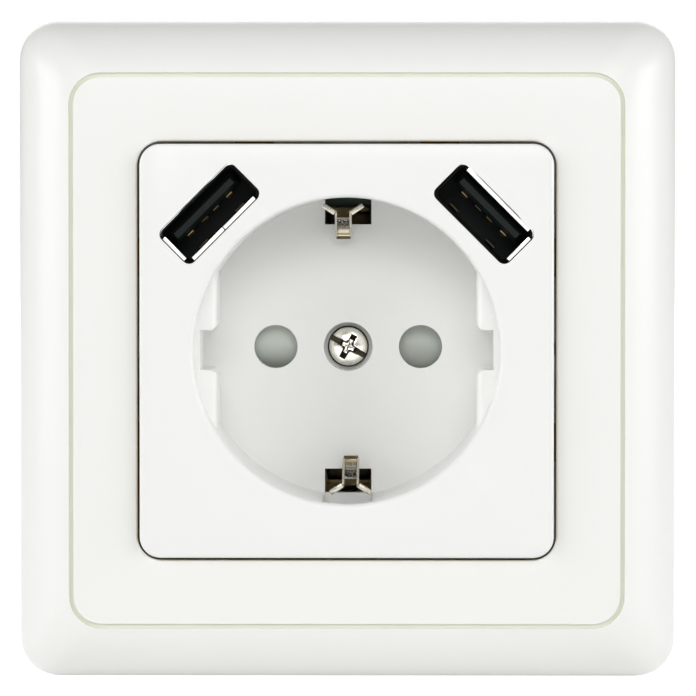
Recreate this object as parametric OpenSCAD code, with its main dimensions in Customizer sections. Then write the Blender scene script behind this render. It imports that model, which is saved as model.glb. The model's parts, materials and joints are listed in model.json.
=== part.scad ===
// Flush-mounted earthed wall socket with two USB power ports, in a square cover frame.
// Each piece is drawn lying on its back: x to the right, y up and z out of the wall,
// with z = 0 in the plane of the wall. stand() then turns it upright, to face -Y.

/* [Cover frame] */
// Distance from the groove's middle to the frame's outer edge
border_out = 6.9; // [5.5:0.1:9]
// Radius of the frame's outer corners
frame_corner_r = 5; // [3:0.5:7]
// Height of the frame's flat band above the wall
frame_h = 8; // [7.6:0.1:8.6]
// Height of the straight edge that meets the wall
frame_edge_h = 1.2; // [0.6:0.1:2]
// Wall thickness of the frame
frame_wall = 2; // [1.6:0.1:2.4]
// Distance from the plug well's rim to the frame's window
window_out = 7.2; // [7:0.1:9]
// Radius of the window's corners
window_corner_r = 3; // [2:0.1:4]
// Thickness of the window's return wall
window_lip_t = 1.5; // [1:0.1:2]
// Height above the wall at which the return wall ends
window_lip_low = 4; // [3.8:0.1:5]
// Rounding of the window's front edge
window_edge_r = 0.35; // [0.2:0.05:0.5]
// Distance from the window to the groove's middle
groove_out = 8.6; // [7:0.1:10]
// Width of the groove ring
groove_w = 0.5; // [0.3:0.05:0.8]
// Depth of the groove ring
groove_depth = 0.5; // [0.3:0.05:0.8]
// Corner radius of the groove ring
groove_corner_r = 3.9; // [3:0.1:5]
// Thickness of the ribs inside the frame
frame_rib_t = 1.2; // [0.8:0.1:2]
// Distance of the ribs from the frame's middle lines
frame_rib_x = 17; // [15:0.5:19]

/* [Insert] */
// Height of the insert's front above the wall
insert_h = 9; // [8.8:0.1:9.6]
// Gap between the insert and the window, all round
window_gap = 0.3; // [0.2:0.05:0.4]
// Thickness of the insert's front
insert_front_t = 2; // [1.6:0.1:2.4]
// Thickness of the insert's skirt
insert_wall = 1.5; // [1.2:0.1:1.8]
// Rounding of the insert's front edge
insert_edge_r = 0.4; // [0.2:0.05:0.6]
// Height above the wall at which the skirt ends
skirt_low = 2.6; // [2.4:0.1:2.9]
// How far a snap lug stands out of the skirt
lug_out = 0.8; // [0.6:0.05:1]
// Width of a snap lug
lug_w = 5; // [4:0.5:6]
// Distance of the snap lugs from the middle lines
lug_x = 12; // [10:0.5:13]

/* [Plug well] */
// Radius of the well at its rim
well_r = 19.8; // [19.7:0.05:19.9]
// How much smaller the well's radius is at its floor
well_draft = 0.35; // [0.2:0.05:0.5]
// Depth of the well
well_depth = 17.5; // [17:0.1:18]
// Wall thickness round the well
well_wall = 1.4; // [1.2:0.05:1.45]
// Thickness of the well's floor
well_floor_t = 2; // [1.8:0.1:2.4]
// Rounding of the well's rim
well_rim_r = 0.6; // [0.4:0.05:0.8]
// How far the guide blocks stand in from the well's rim
guide_t = 3; // [2.6:0.1:3.3]
// Depth of the guide blocks' tops below the insert's front
guide_depth = 4; // [3:0.1:5]
// Rounding of the guide blocks' edges
guide_edge_r = 0.9; // [0.5:0.05:1]
// Width of the notch between the guide blocks
notch_w = 5.2; // [4.8:0.1:5.6]
// How far the notch's back stands in from the well's rim
notch_t = 0.8; // [0.7:0.05:1.2]

/* [Pins] */
// Distance between the two pins
pin_spacing = 19; // [18.8:0.1:19.2]
// Radius of a plug's pin
pin_r = 2.4; // [2:0.05:2.45]
// Radius of the pin holes
pin_hole_r = 2.85; // [2.6:0.05:3]

/* [Centre screw] */
// Radius of the screw's shank
screw_r = 1.75; // [1.5:0.05:1.9]
// Radius of the screw's head
screw_head_r = 2.7; // [2.5:0.05:2.9]
// Height of the screw's head
screw_head_h = 1.8; // [1.6:0.05:1.9]
// Length of the screw under its head
screw_l = 9; // [8.6:0.1:9.6]
// Gap round the screw's head in its counterbore
counterbore_gap = 0.5; // [0.3:0.05:0.6]
// Depth of the counterbore below the well's floor
counterbore_depth = 2; // [1.95:0.05:2.2]
// Turn of the driving slot away from level
drive_angle = -29; // [-90:1:90]
// Width of the driving slot
drive_w = 0.9; // [0.6:0.05:1.2]
// Reach of the cross's arms from the middle
cross_reach = 1.6; // [1.2:0.1:2]
// Depth of the slot and cross
drive_depth = 1; // [0.6:0.05:1.2]

/* [Earth clips] */
// Width of the earth slots
earth_slot_w = 6.1; // [5.9:0.1:6.5]
// Distance from the well's rim to the inner end of an earth slot
slot_in = 3.75; // [3.5:0.05:3.9]
// Distance from the well's rim to the outer end of an earth slot
slot_end_in = 0.6; // [0.4:0.05:0.8]
// Depth of the recess behind a clip, outside the well's rim
recess_out = 1.1; // [0.8:0.05:1.3]
// Thickness of the bent earth strip
strip_t = 0.6; // [0.5:0.05:0.7]
// Play of the strip's arm in its slot, both sides together
slot_play = 0.5; // [0.3:0.05:0.8]
// Width of a clip's finger
finger_w = 2.2; // [2:0.05:2.6]
// How far a finger's crest stands in from the middle of its arm
finger_rise = 3.6; // [3:0.1:4]
// Distance from the well's rim to the middle of an upright arm
arm_in = 1.8; // [1.6:0.05:2]
// Sideways shift of a finger from the middle line
finger_shift = 0.4; // [0:0.05:0.5]
// Sideways reach of a flared lip
lip_out = 1.5; // [1.2:0.05:1.6]
// How far a flared lip leans back towards the well's wall
lip_back = 1; // [0.6:0.05:1.1]

/* [USB ports] */
// Distance from the well's rim to the middle of a port
port_out = 5.2; // [5:0.05:5.6]
// Outer width of a port's metal shell
usb_w = 13.14; // [12.9:0.02:13.3]
// Outer height of a port's metal shell
usb_h = 5.72; // [5.6:0.02:5.8]
// Thickness of the shell's sheet
usb_wall = 0.3; // [0.25:0.05:0.35]
// Outer corner radius of the shell
usb_corner_r = 0.9; // [0.7:0.05:1.2]
// Depth of the shell's rear end behind the wall's plane
usb_drop = 1; // [0.6:0.05:1.4]
// Set-back of the shell behind the insert's front
usb_set_back = 0.2; // [0.1:0.05:0.3]
// Gap between the shell and its opening
port_gap = 0.14; // [0.08:0.02:0.2]
// Room at each end of the tongue inside the shell
tongue_end_gap = 0.72; // [0.5:0.02:0.9]
// Thickness of the tongue
tongue_t = 1.84; // [1.7:0.02:1.9]
// Set-back of the tongue behind the shell's mouth
tongue_set_back = 0.8; // [0.6:0.05:1.2]
// Width of one contact strip
usb_contact_w = 1; // [0.8:0.05:1.1]
// Thickness of one contact strip
usb_contact_t = 0.25; // [0.2:0.05:0.35]

/* [Shutter] */
// Thickness of the shutter
shutter_t = 2.4; // [2.2:0.05:2.6]
// How far a vane reaches beyond its pin hole
shutter_lap = 0.55; // [0.4:0.05:0.8]
// Angle that one vane covers
vane_angle = 42; // [40:1:43]
// Travel of the shutter
shutter_travel = 40; // [38:1:41]
// Radial running clearance of the shutter on its boss
shutter_fit = 0.08; // [0.04:0.01:0.1]
// Outer radius of the boss in the middle of the insert
boss_r = 4.2; // [4:0.05:4.3]
// Lean of the vanes' ramps
ramp_angle = 10; // [6:1:12]
// Wire radius of the shutter's spring
spring_wire_r = 0.16; // [0.12:0.02:0.2]
// Coil radius of the shutter's spring
spring_coil_r = 0.95; // [0.8:0.05:1.05]

/* [Mounting ring] */
// Distance from the mounting ring's edge to the groove's middle
ring_in = 0.1; // [0:0.1:1]
// Corner radius of the mounting ring
ring_corner_r = 9; // [7:0.5:12]
// Thickness of the mounting ring
ring_t = 1.2; // [1:0.1:1.3]
// Distance from the housing's outside to the middle of a box screw
box_screw_out = 1.8; // [1.7:0.05:2.4]
// Width of a box screw's slot
box_slot_w = 3.6; // [3.2:0.1:3.8]
// Length of a box screw's slot
box_slot_l = 6.6; // [6:0.1:7.2]
// Running gap between the ring and the well, the claws and the ports
ring_gap = 0.4; // [0.3:0.05:0.5]
// Radius of the ring screws' shanks
ring_screw_r = 1.3; // [1.1:0.05:1.4]
// Distance from the well's outside to the ring screws
ring_screw_out = 3.4; // [3.2:0.05:3.6]
// Angle of the ring screws below level
ring_screw_angle = 50; // [46:1:54]

/* [Housing] */
// Distance from the well's outside to the housing's outside
housing_out = 7; // [6.6:0.1:8]
// Wall thickness of the rear housing
housing_wall = 1.5; // [1.3:0.05:1.6]
// Room behind the well's floor, to the back of the housing
back_room = 23; // [22.5:0.1:26]
// Depth of the flat that holds the clamp screws
flat_in = 3.7; // [3.4:0.1:4]

/* [Claws] */
// Distance from the well's outside to the claws' screws
claw_out = 3; // [2.9:0.05:3.2]
// Radius of a claw screw
claw_screw_r = 1.5; // [1.4:0.05:1.6]
// Running clearance round a claw screw
claw_screw_fit = 0.08; // [0.04:0.01:0.1]
// How far a claw's screw stands out of the claw's foot
claw_tip = 1; // [0.6:0.1:2]
// Depth behind the wall at which a claw pivots on its screw
claw_pivot_depth = 21; // [20:0.1:21.4]
// Thickness of a claw's sheet
claw_t = 1.5; // [1.3:0.05:1.6]
// Width of a claw
claw_w = 8; // [7:0.1:9]
// Length of a claw's arm
claw_arm = 12; // [10:0.1:13]
// Largest swing of a claw
claw_swing = 25; // [20:1:26]

/* [Terminals] */
// Width of a terminal cage
cage_w = 7; // [6.6:0.1:7.4]
// Depth of a terminal cage, from its screw side to its inner side
cage_d = 7.5; // [7:0.1:7.6]
// Height of a terminal cage
cage_h = 8; // [7:0.1:8.4]
// Radius of the wire entries
wire_r = 2.1; // [1.8:0.05:2.2]
// Radius of a terminal screw
clamp_screw_r = 1.75; // [1.5:0.05:1.8]
// Thickness of the pin contacts' brass
contact_t = 0.7; // [0.6:0.05:0.8]
// Width of the pin contacts
contact_w = 5; // [4.6:0.1:5.4]
// How far a leaf pinches into the pin's space
pinch = 0.3; // [0.1:0.05:0.4]

/* [Electronics] */
// Thickness of the circuit boards
board_t = 1.6; // [1.4:0.1:1.7]
// Width of the transformer
transformer_w = 14; // [12:0.5:15]
// Radius of the input capacitor
input_cap_r = 4; // [3.5:0.1:4.2]
// Radius of the output capacitor
output_cap_r = 3.15; // [2.8:0.05:3.4]
// Side of a square header pin
header_pin = 0.64; // [0.5:0.02:0.7]
// Pitch of the header pins
header_pitch = 2.54; // [2.3:0.02:2.6]

/* [Hidden] */
$fn = 96;
corner_fn = 32;

// One overrun for every cut, one thin slice for every hull, one bite where pieces of a solid join
over = 1;
slice = 0.02;
bite = 0.4;
// Gap between pieces that lie against each other, and clearance round a screw's thread
seat_gap = 0.1;
thread_gap = 0.05;

// Frame: the border's bow is the span of a circle between two angles
bow_start = 17;
bow_end = 72;
bow_steps = 12;
edge_steps = 3;
window_w = 2 * (well_r + window_out);
groove_side = window_w + 2 * groove_out;
frame_w = groove_side + 2 * border_out;
band_w = groove_side + groove_w;
border_w = (frame_w - band_w) / 2;
band_corner_r = groove_corner_r + groove_w / 2;

// Insert
insert_w = window_w - 2 * window_gap;
insert_corner_r = window_corner_r - window_gap;
insert_under_z = insert_h - insert_front_t;
lug_top_z = window_lip_low - seat_gap;
lug_nose = 0.3;
collar_t = 0.8;
collar_l = 2;
post_r = 1.6;
low_post_in = 5.2;
low_post_x = insert_w / 2 - low_post_in;
top_post_in = 3.1;
top_post_y = insert_w / 2 - top_post_in;
top_post_gap = 1.75;

// Plug well
floor_z = insert_h - well_depth;
floor_back_z = floor_z - well_floor_t;
well_outer_r = well_r + well_wall;
well_floor_r = well_r - well_draft;
guide_face_x = well_r - guide_t;
notch_back_x = well_r - notch_t;
guide_top_z = insert_h - guide_depth;
guide_corner_r = 1;
earth_slot_r = well_r - slot_in;
earth_slot_end_r = well_r - slot_end_in;
earth_recess_r = well_r + recess_out;
recess_flare = 0.7;
recess_step = 1.2;
slot_boss_wall = 1.3;
slot_boss_half = earth_slot_w / 2 + recess_flare + slot_boss_wall;
slot_boss_y = earth_recess_r + slot_boss_wall;
top_post_x = slot_boss_half + post_r + top_post_gap;
pin_x = pin_spacing / 2;
port_reach = well_r + port_out;

// Centre screw
counterbore_r = screw_head_r + counterbore_gap;
seat_z = floor_z - counterbore_depth;
screw_top_z = seat_z + screw_head_h;
dome_h = 0.8;
dome_r = (screw_head_r * screw_head_r + dome_h * dome_h) / (2 * dome_h);

// Shutter chamber, from the well's floor back to the carrier
shutter_gap = 0.25;
shutter_r = pin_x + pin_hole_r + shutter_lap;
shutter_top_z = floor_back_z - shutter_gap;
shutter_low_z = shutter_top_z - shutter_t;
carrier_top_z = shutter_low_z - shutter_gap;
carrier_t = 2;
carrier_low_z = carrier_top_z - carrier_t;
carrier_wall = 1.4;
chamber_r = shutter_r + 2 * shutter_gap;
carrier_r = chamber_r + carrier_wall;
boss_end_z = carrier_top_z + seat_gap;
hub_wall = 1.4;
hub_r = boss_r + hub_wall;
vane_root_r = hub_r - bite;
ramp_land = 0.8;
island_r = hub_r + 2 * shutter_gap;
stop_angle = 4;
island_low_angle = vane_angle / 2 + shutter_travel + stop_angle;
island_high_angle = 180 - vane_angle / 2 - stop_angle;
spring_angle = 44;
spring_reach = 9.2;
spring_z = (shutter_top_z + shutter_low_z) / 2;
spring_outer_r = spring_coil_r + spring_wire_r;
spring_front_y = (spring_reach - spring_outer_r) * tan(spring_angle - vane_angle / 2) - thread_gap;
spring_back_y = -spring_reach * tan(island_low_angle - spring_angle) - spring_coil_r - bite;
spring_turns = 5.5;
spring_steps = 66;
spring_sides = 6;

// Earth strip: it crosses the back behind the carrier and rises through both slots
arm_r = well_r - arm_in;
crest_r = arm_r - finger_rise;
strap_w = earth_slot_w - slot_play;
strap_z = carrier_low_z - seat_gap - strip_t / 2;
strap_low_z = strap_z - strip_t / 2;
bend = 1.1;
arm_top_z = floor_z - strip_t;
crest_up = 3.4;
crest_z = floor_z + crest_up;
neck_wall = 1.15;
neck_r = screw_r + neck_wall;
neck_l = 2.4;
neck_foot = 0.9;
neck_pad_r = neck_r + neck_foot;
lip_up = 5;
lip_low_z = crest_z + lip_up;
lip_l = 2.6;

// Housing
housing_r = well_outer_r + housing_out;
housing_depth = back_room - floor_z;
terminal_flat_y = housing_r - flat_in;
ring_w = groove_side - 2 * ring_in;
box_spacing = 2 * (housing_r + box_screw_out);
ring_screw_reach = well_outer_r + ring_screw_out;
housing_floor_z = -housing_depth + housing_wall;
housing_in_r = housing_r - housing_wall;
rib_t = 1.2;
boss_wall = 1.1;

// Pin contacts and terminals
leaf_x = pin_r + contact_t / 2 + pinch;
waist_x = pin_r + contact_t / 2 - pinch;
contact_top_z = strap_low_z - seat_gap - contact_t;
web_z = housing_floor_z + 2 * contact_t;
chamber_x = leaf_x + contact_t / 2 + bite;
chamber_y = contact_w / 2 + bite;
tail_w = 3.6;
terminal_pitch = pin_x;
cage_low_z = housing_floor_z + 3 * seat_gap;
cage_mid_z = cage_low_z + cage_h / 2;
cage_set_in = 2;
cage_out_y = terminal_flat_y - cage_set_in;
cage_in_y = cage_out_y - cage_d;
wire_y = cage_in_y + boss_wall + wire_r - 3 * seat_gap;
clamp_head_r = 2.5;
clamp_head_h = 1.6;
clamp_slot_w = 0.8;
clamp_slot_depth = 0.8;
flat_in_y = terminal_flat_y - housing_wall;
funnel = 0.5;

// Claws
pivot_z = -claw_pivot_depth;
claw_head_r = 2.5;
claw_head_h = 2;
claw_head_z = ring_t + thread_gap;
claw_screw_x = well_outer_r + claw_out;
claw_screw_l = claw_head_z + claw_pivot_depth + claw_t / 2 + claw_tip;
bay_gap = 2.5;
bay_half = claw_w / 2 + bay_gap;
bay_step = 2.4;
bay_step_z = floor_back_z - bay_step;
bay_front_x = well_outer_r + rib_t;
bay_back_x = bay_front_x - bay_step;
bay_floor_z = pivot_z - claw_t - bay_gap;
foot_in = 3.4;
arm_out = housing_r - claw_screw_x - thread_gap;
claw_bend = 2;
tooth_h = 0.8;
tooth_w = 2;
claw_slot_half = claw_screw_r / cos(claw_swing) + claw_t / 2 * tan(claw_swing) + 2 * claw_screw_fit;

// Ports, each drawn with its own x across and y outwards
usb_front_z = insert_h - usb_set_back;
usb_back_z = -usb_drop;
usb_base_l = 1.6;
usb_in_w = usb_w - 2 * usb_wall;
usb_in_h = usb_h - 2 * usb_wall;
usb_in_r = usb_corner_r - usb_wall;
tongue_w = usb_in_w - 2 * tongue_end_gap;
tongue_room = 0.62;
tongue_face_y = usb_in_h / 2 - tongue_room - tongue_t;
contact_place_shares = [-0.28, -0.08, 0.08, 0.28];
contact_places = contact_place_shares * usb_in_w;
short_by = 1;
contact_end_gap = 0.8;
contact_set_back = tongue_set_back + contact_end_gap;
tab_x = 3.3;
tab_w = 1.7;
tab_low = 2.6;
tab_l = 5;
tab_dip = 0.5;
tab_dip_small = 0.3;
tab_gap = 0.3;

// Boards and what they carry
board_edge_r = housing_in_r - 5 * seat_gap;
usb_board_low_z = usb_back_z - board_t;
usb_board_r = well_outer_r + 2 * ring_gap;
usb_board_angle = 24;
ledge_w = 1.5;
ledge_t = 1.8;
board_gap = 2.4;
power_board_top_z = strap_low_z - board_gap;
power_board_low_z = power_board_top_z - board_t;
power_board_y = bay_half + rib_t + bite;
board_post_r = 2;
board_post_in = 5.7;
board_post_x = housing_in_r - board_post_in;
board_post_up = 2.7;
board_post_y = power_board_y + board_post_up;
header_in = 2.4;
header_y = housing_in_r - header_in;
header_out = 1;
pin_count = 4;
part_top_z = power_board_low_z;
transformer_up = 7.9;
transformer_y = power_board_y + transformer_up;
transformer_d = 11.6;
part_room = part_top_z - housing_floor_z;
transformer_gap = 1.25;
transformer_h = part_room - transformer_gap;
core_d = 6;
can_gap = 1.4;
input_cap_angle = 133;
input_cap_gap = 1;
input_cap_h = part_room - input_cap_gap;
output_cap_angle = 50;
output_cap_gap = 2;
output_cap_h = part_room - output_cap_gap;
crimp = 0.25;
low_screw_head_r = 2.3;
low_screw_head_h = 1.3;
low_screw_l = 6;
low_screw_floor = 2;

function unit(v) = v / norm(v);
function toward(a, b, d) = a + unit(b - a) * min(d, norm(b - a) / 2);
function blend(a, b, c, t) = (1 - t) * (1 - t) * a + 2 * t * (1 - t) * b + t * t * c;

// A path with each corner turned in four short steps, starting d before it
function bent(points, d) = [
    points[0],
    for (i = [1 : len(points) - 2], k = [0 : 4])
        blend(toward(points[i], points[i - 1], d), points[i], toward(points[i], points[i + 1], d), k / 4),
    points[len(points) - 1]
];
function heading(points, i) = unit(points[min(i + 1, len(points) - 1)] - points[max(i - 1, 0)]);
function beside(points, i, d) = points[i] + d * [-heading(points, i)[1], heading(points, i)[0]];
function strip(points, t) = concat(
    [for (i = [0 : len(points) - 1]) beside(points, i, t / 2)],
    [for (i = [len(points) - 1 : -1 : 0]) beside(points, i, -t / 2)]
);

module stand() rotate([90, 0, 0]) children();

module slab(low, high) translate([0, 0, low]) linear_extrude(high - low) children();

module disc(r, low, high) translate([0, 0, low]) cylinder(r = r, h = high - low);

// A profile drawn in x and z, swept along y about its middle
module swept(width) rotate([90, 0, 0]) linear_extrude(width, center = true) children();

module sector(inner, outer, from, to, low, high)
    rotate([0, 0, from]) rotate_extrude(angle = to - from) translate([inner, low])
        square([outer - inner, high - low]);

module rounded_rect(w, h, r, fn = $fn) {
    square([w - 2 * r, h], center = true);
    square([w, h - 2 * r], center = true);
    for (x = [-1, 1], y = [-1, 1])
        translate([x * (w / 2 - r), y * (h / 2 - r)]) circle(r, $fn = fn);
}

module box_on(x0, x1, y0, y1, z0, z1) translate([x0, y0, z0]) cube([x1 - x0, y1 - y0, z1 - z0]);

module at_port(side) rotate([0, 0, -45 * side]) translate([0, port_reach, 0]) children();

// Cover frame
function bow_angle(t) = bow_start + t * (bow_end - bow_start);
function bow_in(t) = border_w * (cos(bow_start) - cos(bow_angle(t))) / (cos(bow_start) - cos(bow_end));
function bow_up(t) = frame_edge_h + (frame_h - frame_edge_h)
    * (sin(bow_angle(t)) - sin(bow_start)) / (sin(bow_end) - sin(bow_start));

module frame_slice(t, skin) {
    side = frame_w - 2 * bow_in(t) - 2 * skin;
    r = frame_corner_r + t * (band_corner_r - frame_corner_r) - skin;
    linear_extrude(slice) rounded_rect(side, side, r, corner_fn);
}

module frame_form(skin, low) hull() {
    translate([0, 0, low]) frame_slice(0, skin);
    for (i = [0 : bow_steps])
        translate([0, 0, bow_up(i / bow_steps) - skin - slice]) frame_slice(i / bow_steps, skin);
}

// A square opening whose front edge is rounded by r
module flared_opening(w, corner_r, low, top, r) {
    slab(low, top + over) rounded_rect(w, w, corner_r);
    for (k = [0 : edge_steps - 1]) hull() for (a = [k, k + 1] * 90 / edge_steps)
        translate([0, 0, top - r * (1 - sin(a))]) linear_extrude(slice)
            rounded_rect(w + 2 * r * (1 - cos(a)), w + 2 * r * (1 - cos(a)),
                corner_r + r * (1 - cos(a)), corner_fn);
}

module frame_ribs() for (turn = [0 : 90 : 270], x = [-1, 1] * frame_rib_x) rotate([0, 0, turn])
    box_on(x - frame_rib_t / 2, x + frame_rib_t / 2, window_w / 2 + bite, band_w / 2,
        ring_t, frame_h - frame_wall + bite);

module cover_frame() color("whitesmoke") stand() difference() {
    union() {
        difference() {
            frame_form(0, 0);
            frame_form(frame_wall, -over);
        }
        slab(window_lip_low, frame_h - frame_wall + bite)
            rounded_rect(window_w + 2 * window_lip_t, window_w + 2 * window_lip_t,
                window_corner_r + window_lip_t);
        frame_ribs();
    }
    flared_opening(window_w, window_corner_r, -over, frame_h, window_edge_r);
    slab(frame_h - groove_depth, frame_h + over) difference() {
        rounded_rect(groove_side + groove_w, groove_side + groove_w, band_corner_r);
        rounded_rect(groove_side - groove_w, groove_side - groove_w, band_corner_r - groove_w);
    }
}

// Insert with the plug well
module insert_form() hull() {
    translate([0, 0, skirt_low]) linear_extrude(slice)
        rounded_rect(insert_w, insert_w, insert_corner_r, corner_fn);
    for (k = [0 : edge_steps]) let (a = 90 * k / edge_steps, side = insert_w - 2 * insert_edge_r * (1 - cos(a)))
        translate([0, 0, insert_h - insert_edge_r * (1 - sin(a)) - slice]) linear_extrude(slice)
            rounded_rect(side, side, insert_corner_r - insert_edge_r * (1 - cos(a)), corner_fn);
}

module insert_shell() difference() {
    insert_form();
    slab(skirt_low - over, insert_under_z)
        rounded_rect(insert_w - 2 * insert_wall, insert_w - 2 * insert_wall, insert_corner_r - insert_wall / 2);
}

module snap_lugs() for (turn = [0 : 90 : 270], x = [-1, 1] * lug_x)
    rotate([0, 0, turn]) translate([insert_w / 2, x, 0]) swept(lug_w) polygon([
        [-bite, skirt_low], [0, skirt_low], [lug_out, lug_top_z - lug_nose],
        [lug_out, lug_top_z], [-bite, lug_top_z]
    ]);

module slot_boss() box_on(-slot_boss_half, slot_boss_half, well_r, slot_boss_y,
    floor_back_z, insert_under_z + bite);

module earth_slot() {
    box_on(-earth_slot_w / 2, earth_slot_w / 2, earth_slot_r, earth_slot_end_r,
        floor_back_z - over, floor_z + over);
    slab(floor_z, insert_under_z) polygon([
        [-earth_slot_w / 2, arm_r], [earth_slot_w / 2, arm_r],
        [earth_slot_w / 2, earth_slot_end_r],
        [earth_slot_w / 2 + recess_flare, earth_slot_end_r + recess_step],
        [earth_slot_w / 2 + recess_flare, earth_recess_r],
        [-earth_slot_w / 2 - recess_flare, earth_recess_r],
        [-earth_slot_w / 2 - recess_flare, earth_slot_end_r + recess_step],
        [-earth_slot_w / 2, earth_slot_end_r]
    ]);
}

// The well's hollow, with a drafted wall and a rounded rim
module well_hollow() rotate_extrude() difference() {
    polygon([
        [0, floor_z], [well_floor_r, floor_z], [well_r, insert_h - well_rim_r],
        [well_r + well_rim_r, insert_h - well_rim_r], [well_r + well_rim_r, insert_h + over],
        [0, insert_h + over]
    ]);
    translate([well_r + well_rim_r, insert_h - well_rim_r]) circle(well_rim_r);
}

// One guide block: its plan has a rounded corner at the notch, its section a rounded top edge
module guide_block() intersection() {
    slab(floor_z - bite, guide_top_z) {
        box_2d(guide_face_x + guide_corner_r, well_r + bite, notch_w / 2, well_r);
        box_2d(guide_face_x, well_r + bite, notch_w / 2 + guide_corner_r, well_r);
        translate([guide_face_x + guide_corner_r, notch_w / 2 + guide_corner_r]) circle(guide_corner_r);
    }
    swept(2 * well_r) {
        box_2d(guide_face_x + guide_edge_r, well_r + bite, floor_z - bite, guide_top_z);
        box_2d(guide_face_x, well_r + bite, floor_z - bite, guide_top_z - guide_edge_r);
        translate([guide_face_x + guide_edge_r, guide_top_z - guide_edge_r]) circle(guide_edge_r);
    }
    disc(well_r + bite, floor_z - bite, guide_top_z);
}

module box_2d(x0, x1, y0, y1) translate([x0, y0]) square([x1 - x0, y1 - y0]);

module notch_back() intersection() {
    box_on(notch_back_x, well_r + bite, -notch_w / 2 - bite, notch_w / 2 + bite, floor_z - bite, guide_top_z);
    disc(well_r + bite, floor_z - bite, guide_top_z);
}

module insert_body() {
    insert_shell();
    disc(well_outer_r, floor_back_z, insert_under_z + bite);
    disc(boss_r, boss_end_z, floor_back_z + bite);
    for (turn = [0, 180]) rotate([0, 0, turn]) slot_boss();
    for (x = [-1, 1]) {
        translate([x * low_post_x, -low_post_x]) disc(post_r, ring_t, insert_under_z + bite);
        translate([x * top_post_x, top_post_y]) disc(post_r, ring_t, insert_under_z + bite);
        at_port(x) slab(insert_under_z - collar_l, insert_under_z + bite)
            rounded_rect(usb_w + 2 * (port_gap + collar_t), usb_h + 2 * (port_gap + collar_t),
                usb_corner_r + port_gap + collar_t);
    }
    snap_lugs();
}

module socket_cover() color("white") stand() {
    difference() {
        insert_body();
        well_hollow();
        for (turn = [0, 180]) rotate([0, 0, turn]) earth_slot();
        for (x = [-1, 1]) {
            at_port(x) slab(skirt_low - over, insert_h + over)
                rounded_rect(usb_w + 2 * port_gap, usb_h + 2 * port_gap, usb_corner_r + port_gap);
            translate([x * pin_x, 0]) disc(pin_hole_r, floor_back_z - over, floor_z + over);
            translate([x * insert_w / 2, 0]) box_on(-insert_wall - bite, insert_wall + bite,
                -claw_head_r - over, claw_head_r + over, skirt_low - over, claw_head_z + claw_head_h + bite);
        }
        disc(counterbore_r, seat_z, floor_z + over);
        disc(screw_r + seat_gap, boss_end_z - over, seat_z + bite);
    }
    for (x = [0, 1]) mirror([x, 0, 0]) {
        notch_back();
        for (y = [0, 1]) mirror([0, y, 0]) guide_block();
    }
}

module centre_screw() color("silver") stand() difference() {
    union() {
        intersection() {
            disc(screw_head_r, seat_z, screw_top_z + over);
            translate([0, 0, screw_top_z - dome_r]) sphere(dome_r);
        }
        disc(screw_r, seat_z - screw_l, seat_z + bite);
    }
    rotate([0, 0, drive_angle]) {
        box_on(-screw_head_r - over, screw_head_r + over, -drive_w / 2, drive_w / 2,
            screw_top_z - drive_depth, screw_top_z + over);
        box_on(-drive_w / 2, drive_w / 2, -cross_reach, cross_reach,
            screw_top_z - drive_depth, screw_top_z + over);
    }
}

// Shutter: a hub with two ramped vanes that close the pin holes until both pins press on them
module vane() intersection() {
    sector(vane_root_r, shutter_r, -vane_angle / 2, vane_angle / 2, shutter_low_z, shutter_top_z);
    translate([0, ramp_land - shutter_r * sin(vane_angle / 2), shutter_top_z]) rotate([-ramp_angle, 0, 0])
        box_on(0, 2 * shutter_r, -shutter_r, 2 * shutter_r, -shutter_r, 0);
}

module shutter() color("lightsteelblue") stand() difference() {
    union() {
        rotate([0, 0, 90]) disc(hub_r, shutter_low_z, shutter_top_z);
        for (turn = [0, 180]) rotate([0, 0, turn]) vane();
    }
    disc(boss_r + shutter_fit, shutter_low_z - over, shutter_top_z + over);
}

// The spring lies across the radius at its own angle, with its y along its axis
module at_spring() rotate([0, 0, -spring_angle]) translate([spring_reach, 0, spring_z]) children();

function spring_ring(i) = let (
        share = i / spring_steps,
        turn = 360 * spring_turns * share,
        y = spring_back_y + spring_wire_r + share * (spring_front_y - spring_back_y - 2 * spring_wire_r))
    [for (k = [0 : spring_sides - 1]) let (
            a = 360 * k / spring_sides,
            r = spring_coil_r + spring_wire_r * cos(a))
        [r * cos(turn), y + spring_wire_r * sin(a), r * sin(turn)]];

module shutter_spring() color("gray") stand() at_spring() polyhedron(
    points = [for (i = [0 : spring_steps]) each spring_ring(i)],
    faces = concat(
        [[for (k = [0 : spring_sides - 1]) k]],
        [for (i = [0 : spring_steps - 1], k = [0 : spring_sides - 1]) let (
                a = i * spring_sides, b = a + spring_sides, n = (k + 1) % spring_sides)
            [a + k, b + k, b + n, a + n]],
        [[for (k = [spring_sides - 1 : -1 : 0]) spring_steps * spring_sides + k]]
    )
);

module contact_carrier() color("ivory") stand() difference() {
    union() {
        disc(carrier_r, carrier_low_z, carrier_top_z);
        difference() {
            disc(carrier_r, carrier_low_z, floor_back_z - seat_gap);
            disc(chamber_r, carrier_low_z - over, floor_back_z + over);
        }
        for (turn = [0, 180])
            sector(island_r, chamber_r + bite, turn - island_high_angle, turn - island_low_angle,
                carrier_top_z - bite, floor_back_z - seat_gap);
    }
    for (x = [-1, 1]) translate([x * pin_x, 0]) disc(pin_hole_r, carrier_low_z - over, carrier_top_z + over);
    disc(screw_r + seat_gap, carrier_low_z - over, carrier_top_z + over);
    for (turn = [0, 180]) rotate([0, 0, turn]) box_on(-strap_w / 2 - ring_gap, strap_w / 2 + ring_gap,
        arm_r - strip_t / 2 - ring_gap, carrier_r + over, carrier_low_z - over, floor_back_z + over);
    at_spring() box_on(-spring_outer_r - seat_gap, spring_outer_r + seat_gap, spring_back_y - seat_gap, 0,
        -spring_outer_r - seat_gap, shutter_t);
}

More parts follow.
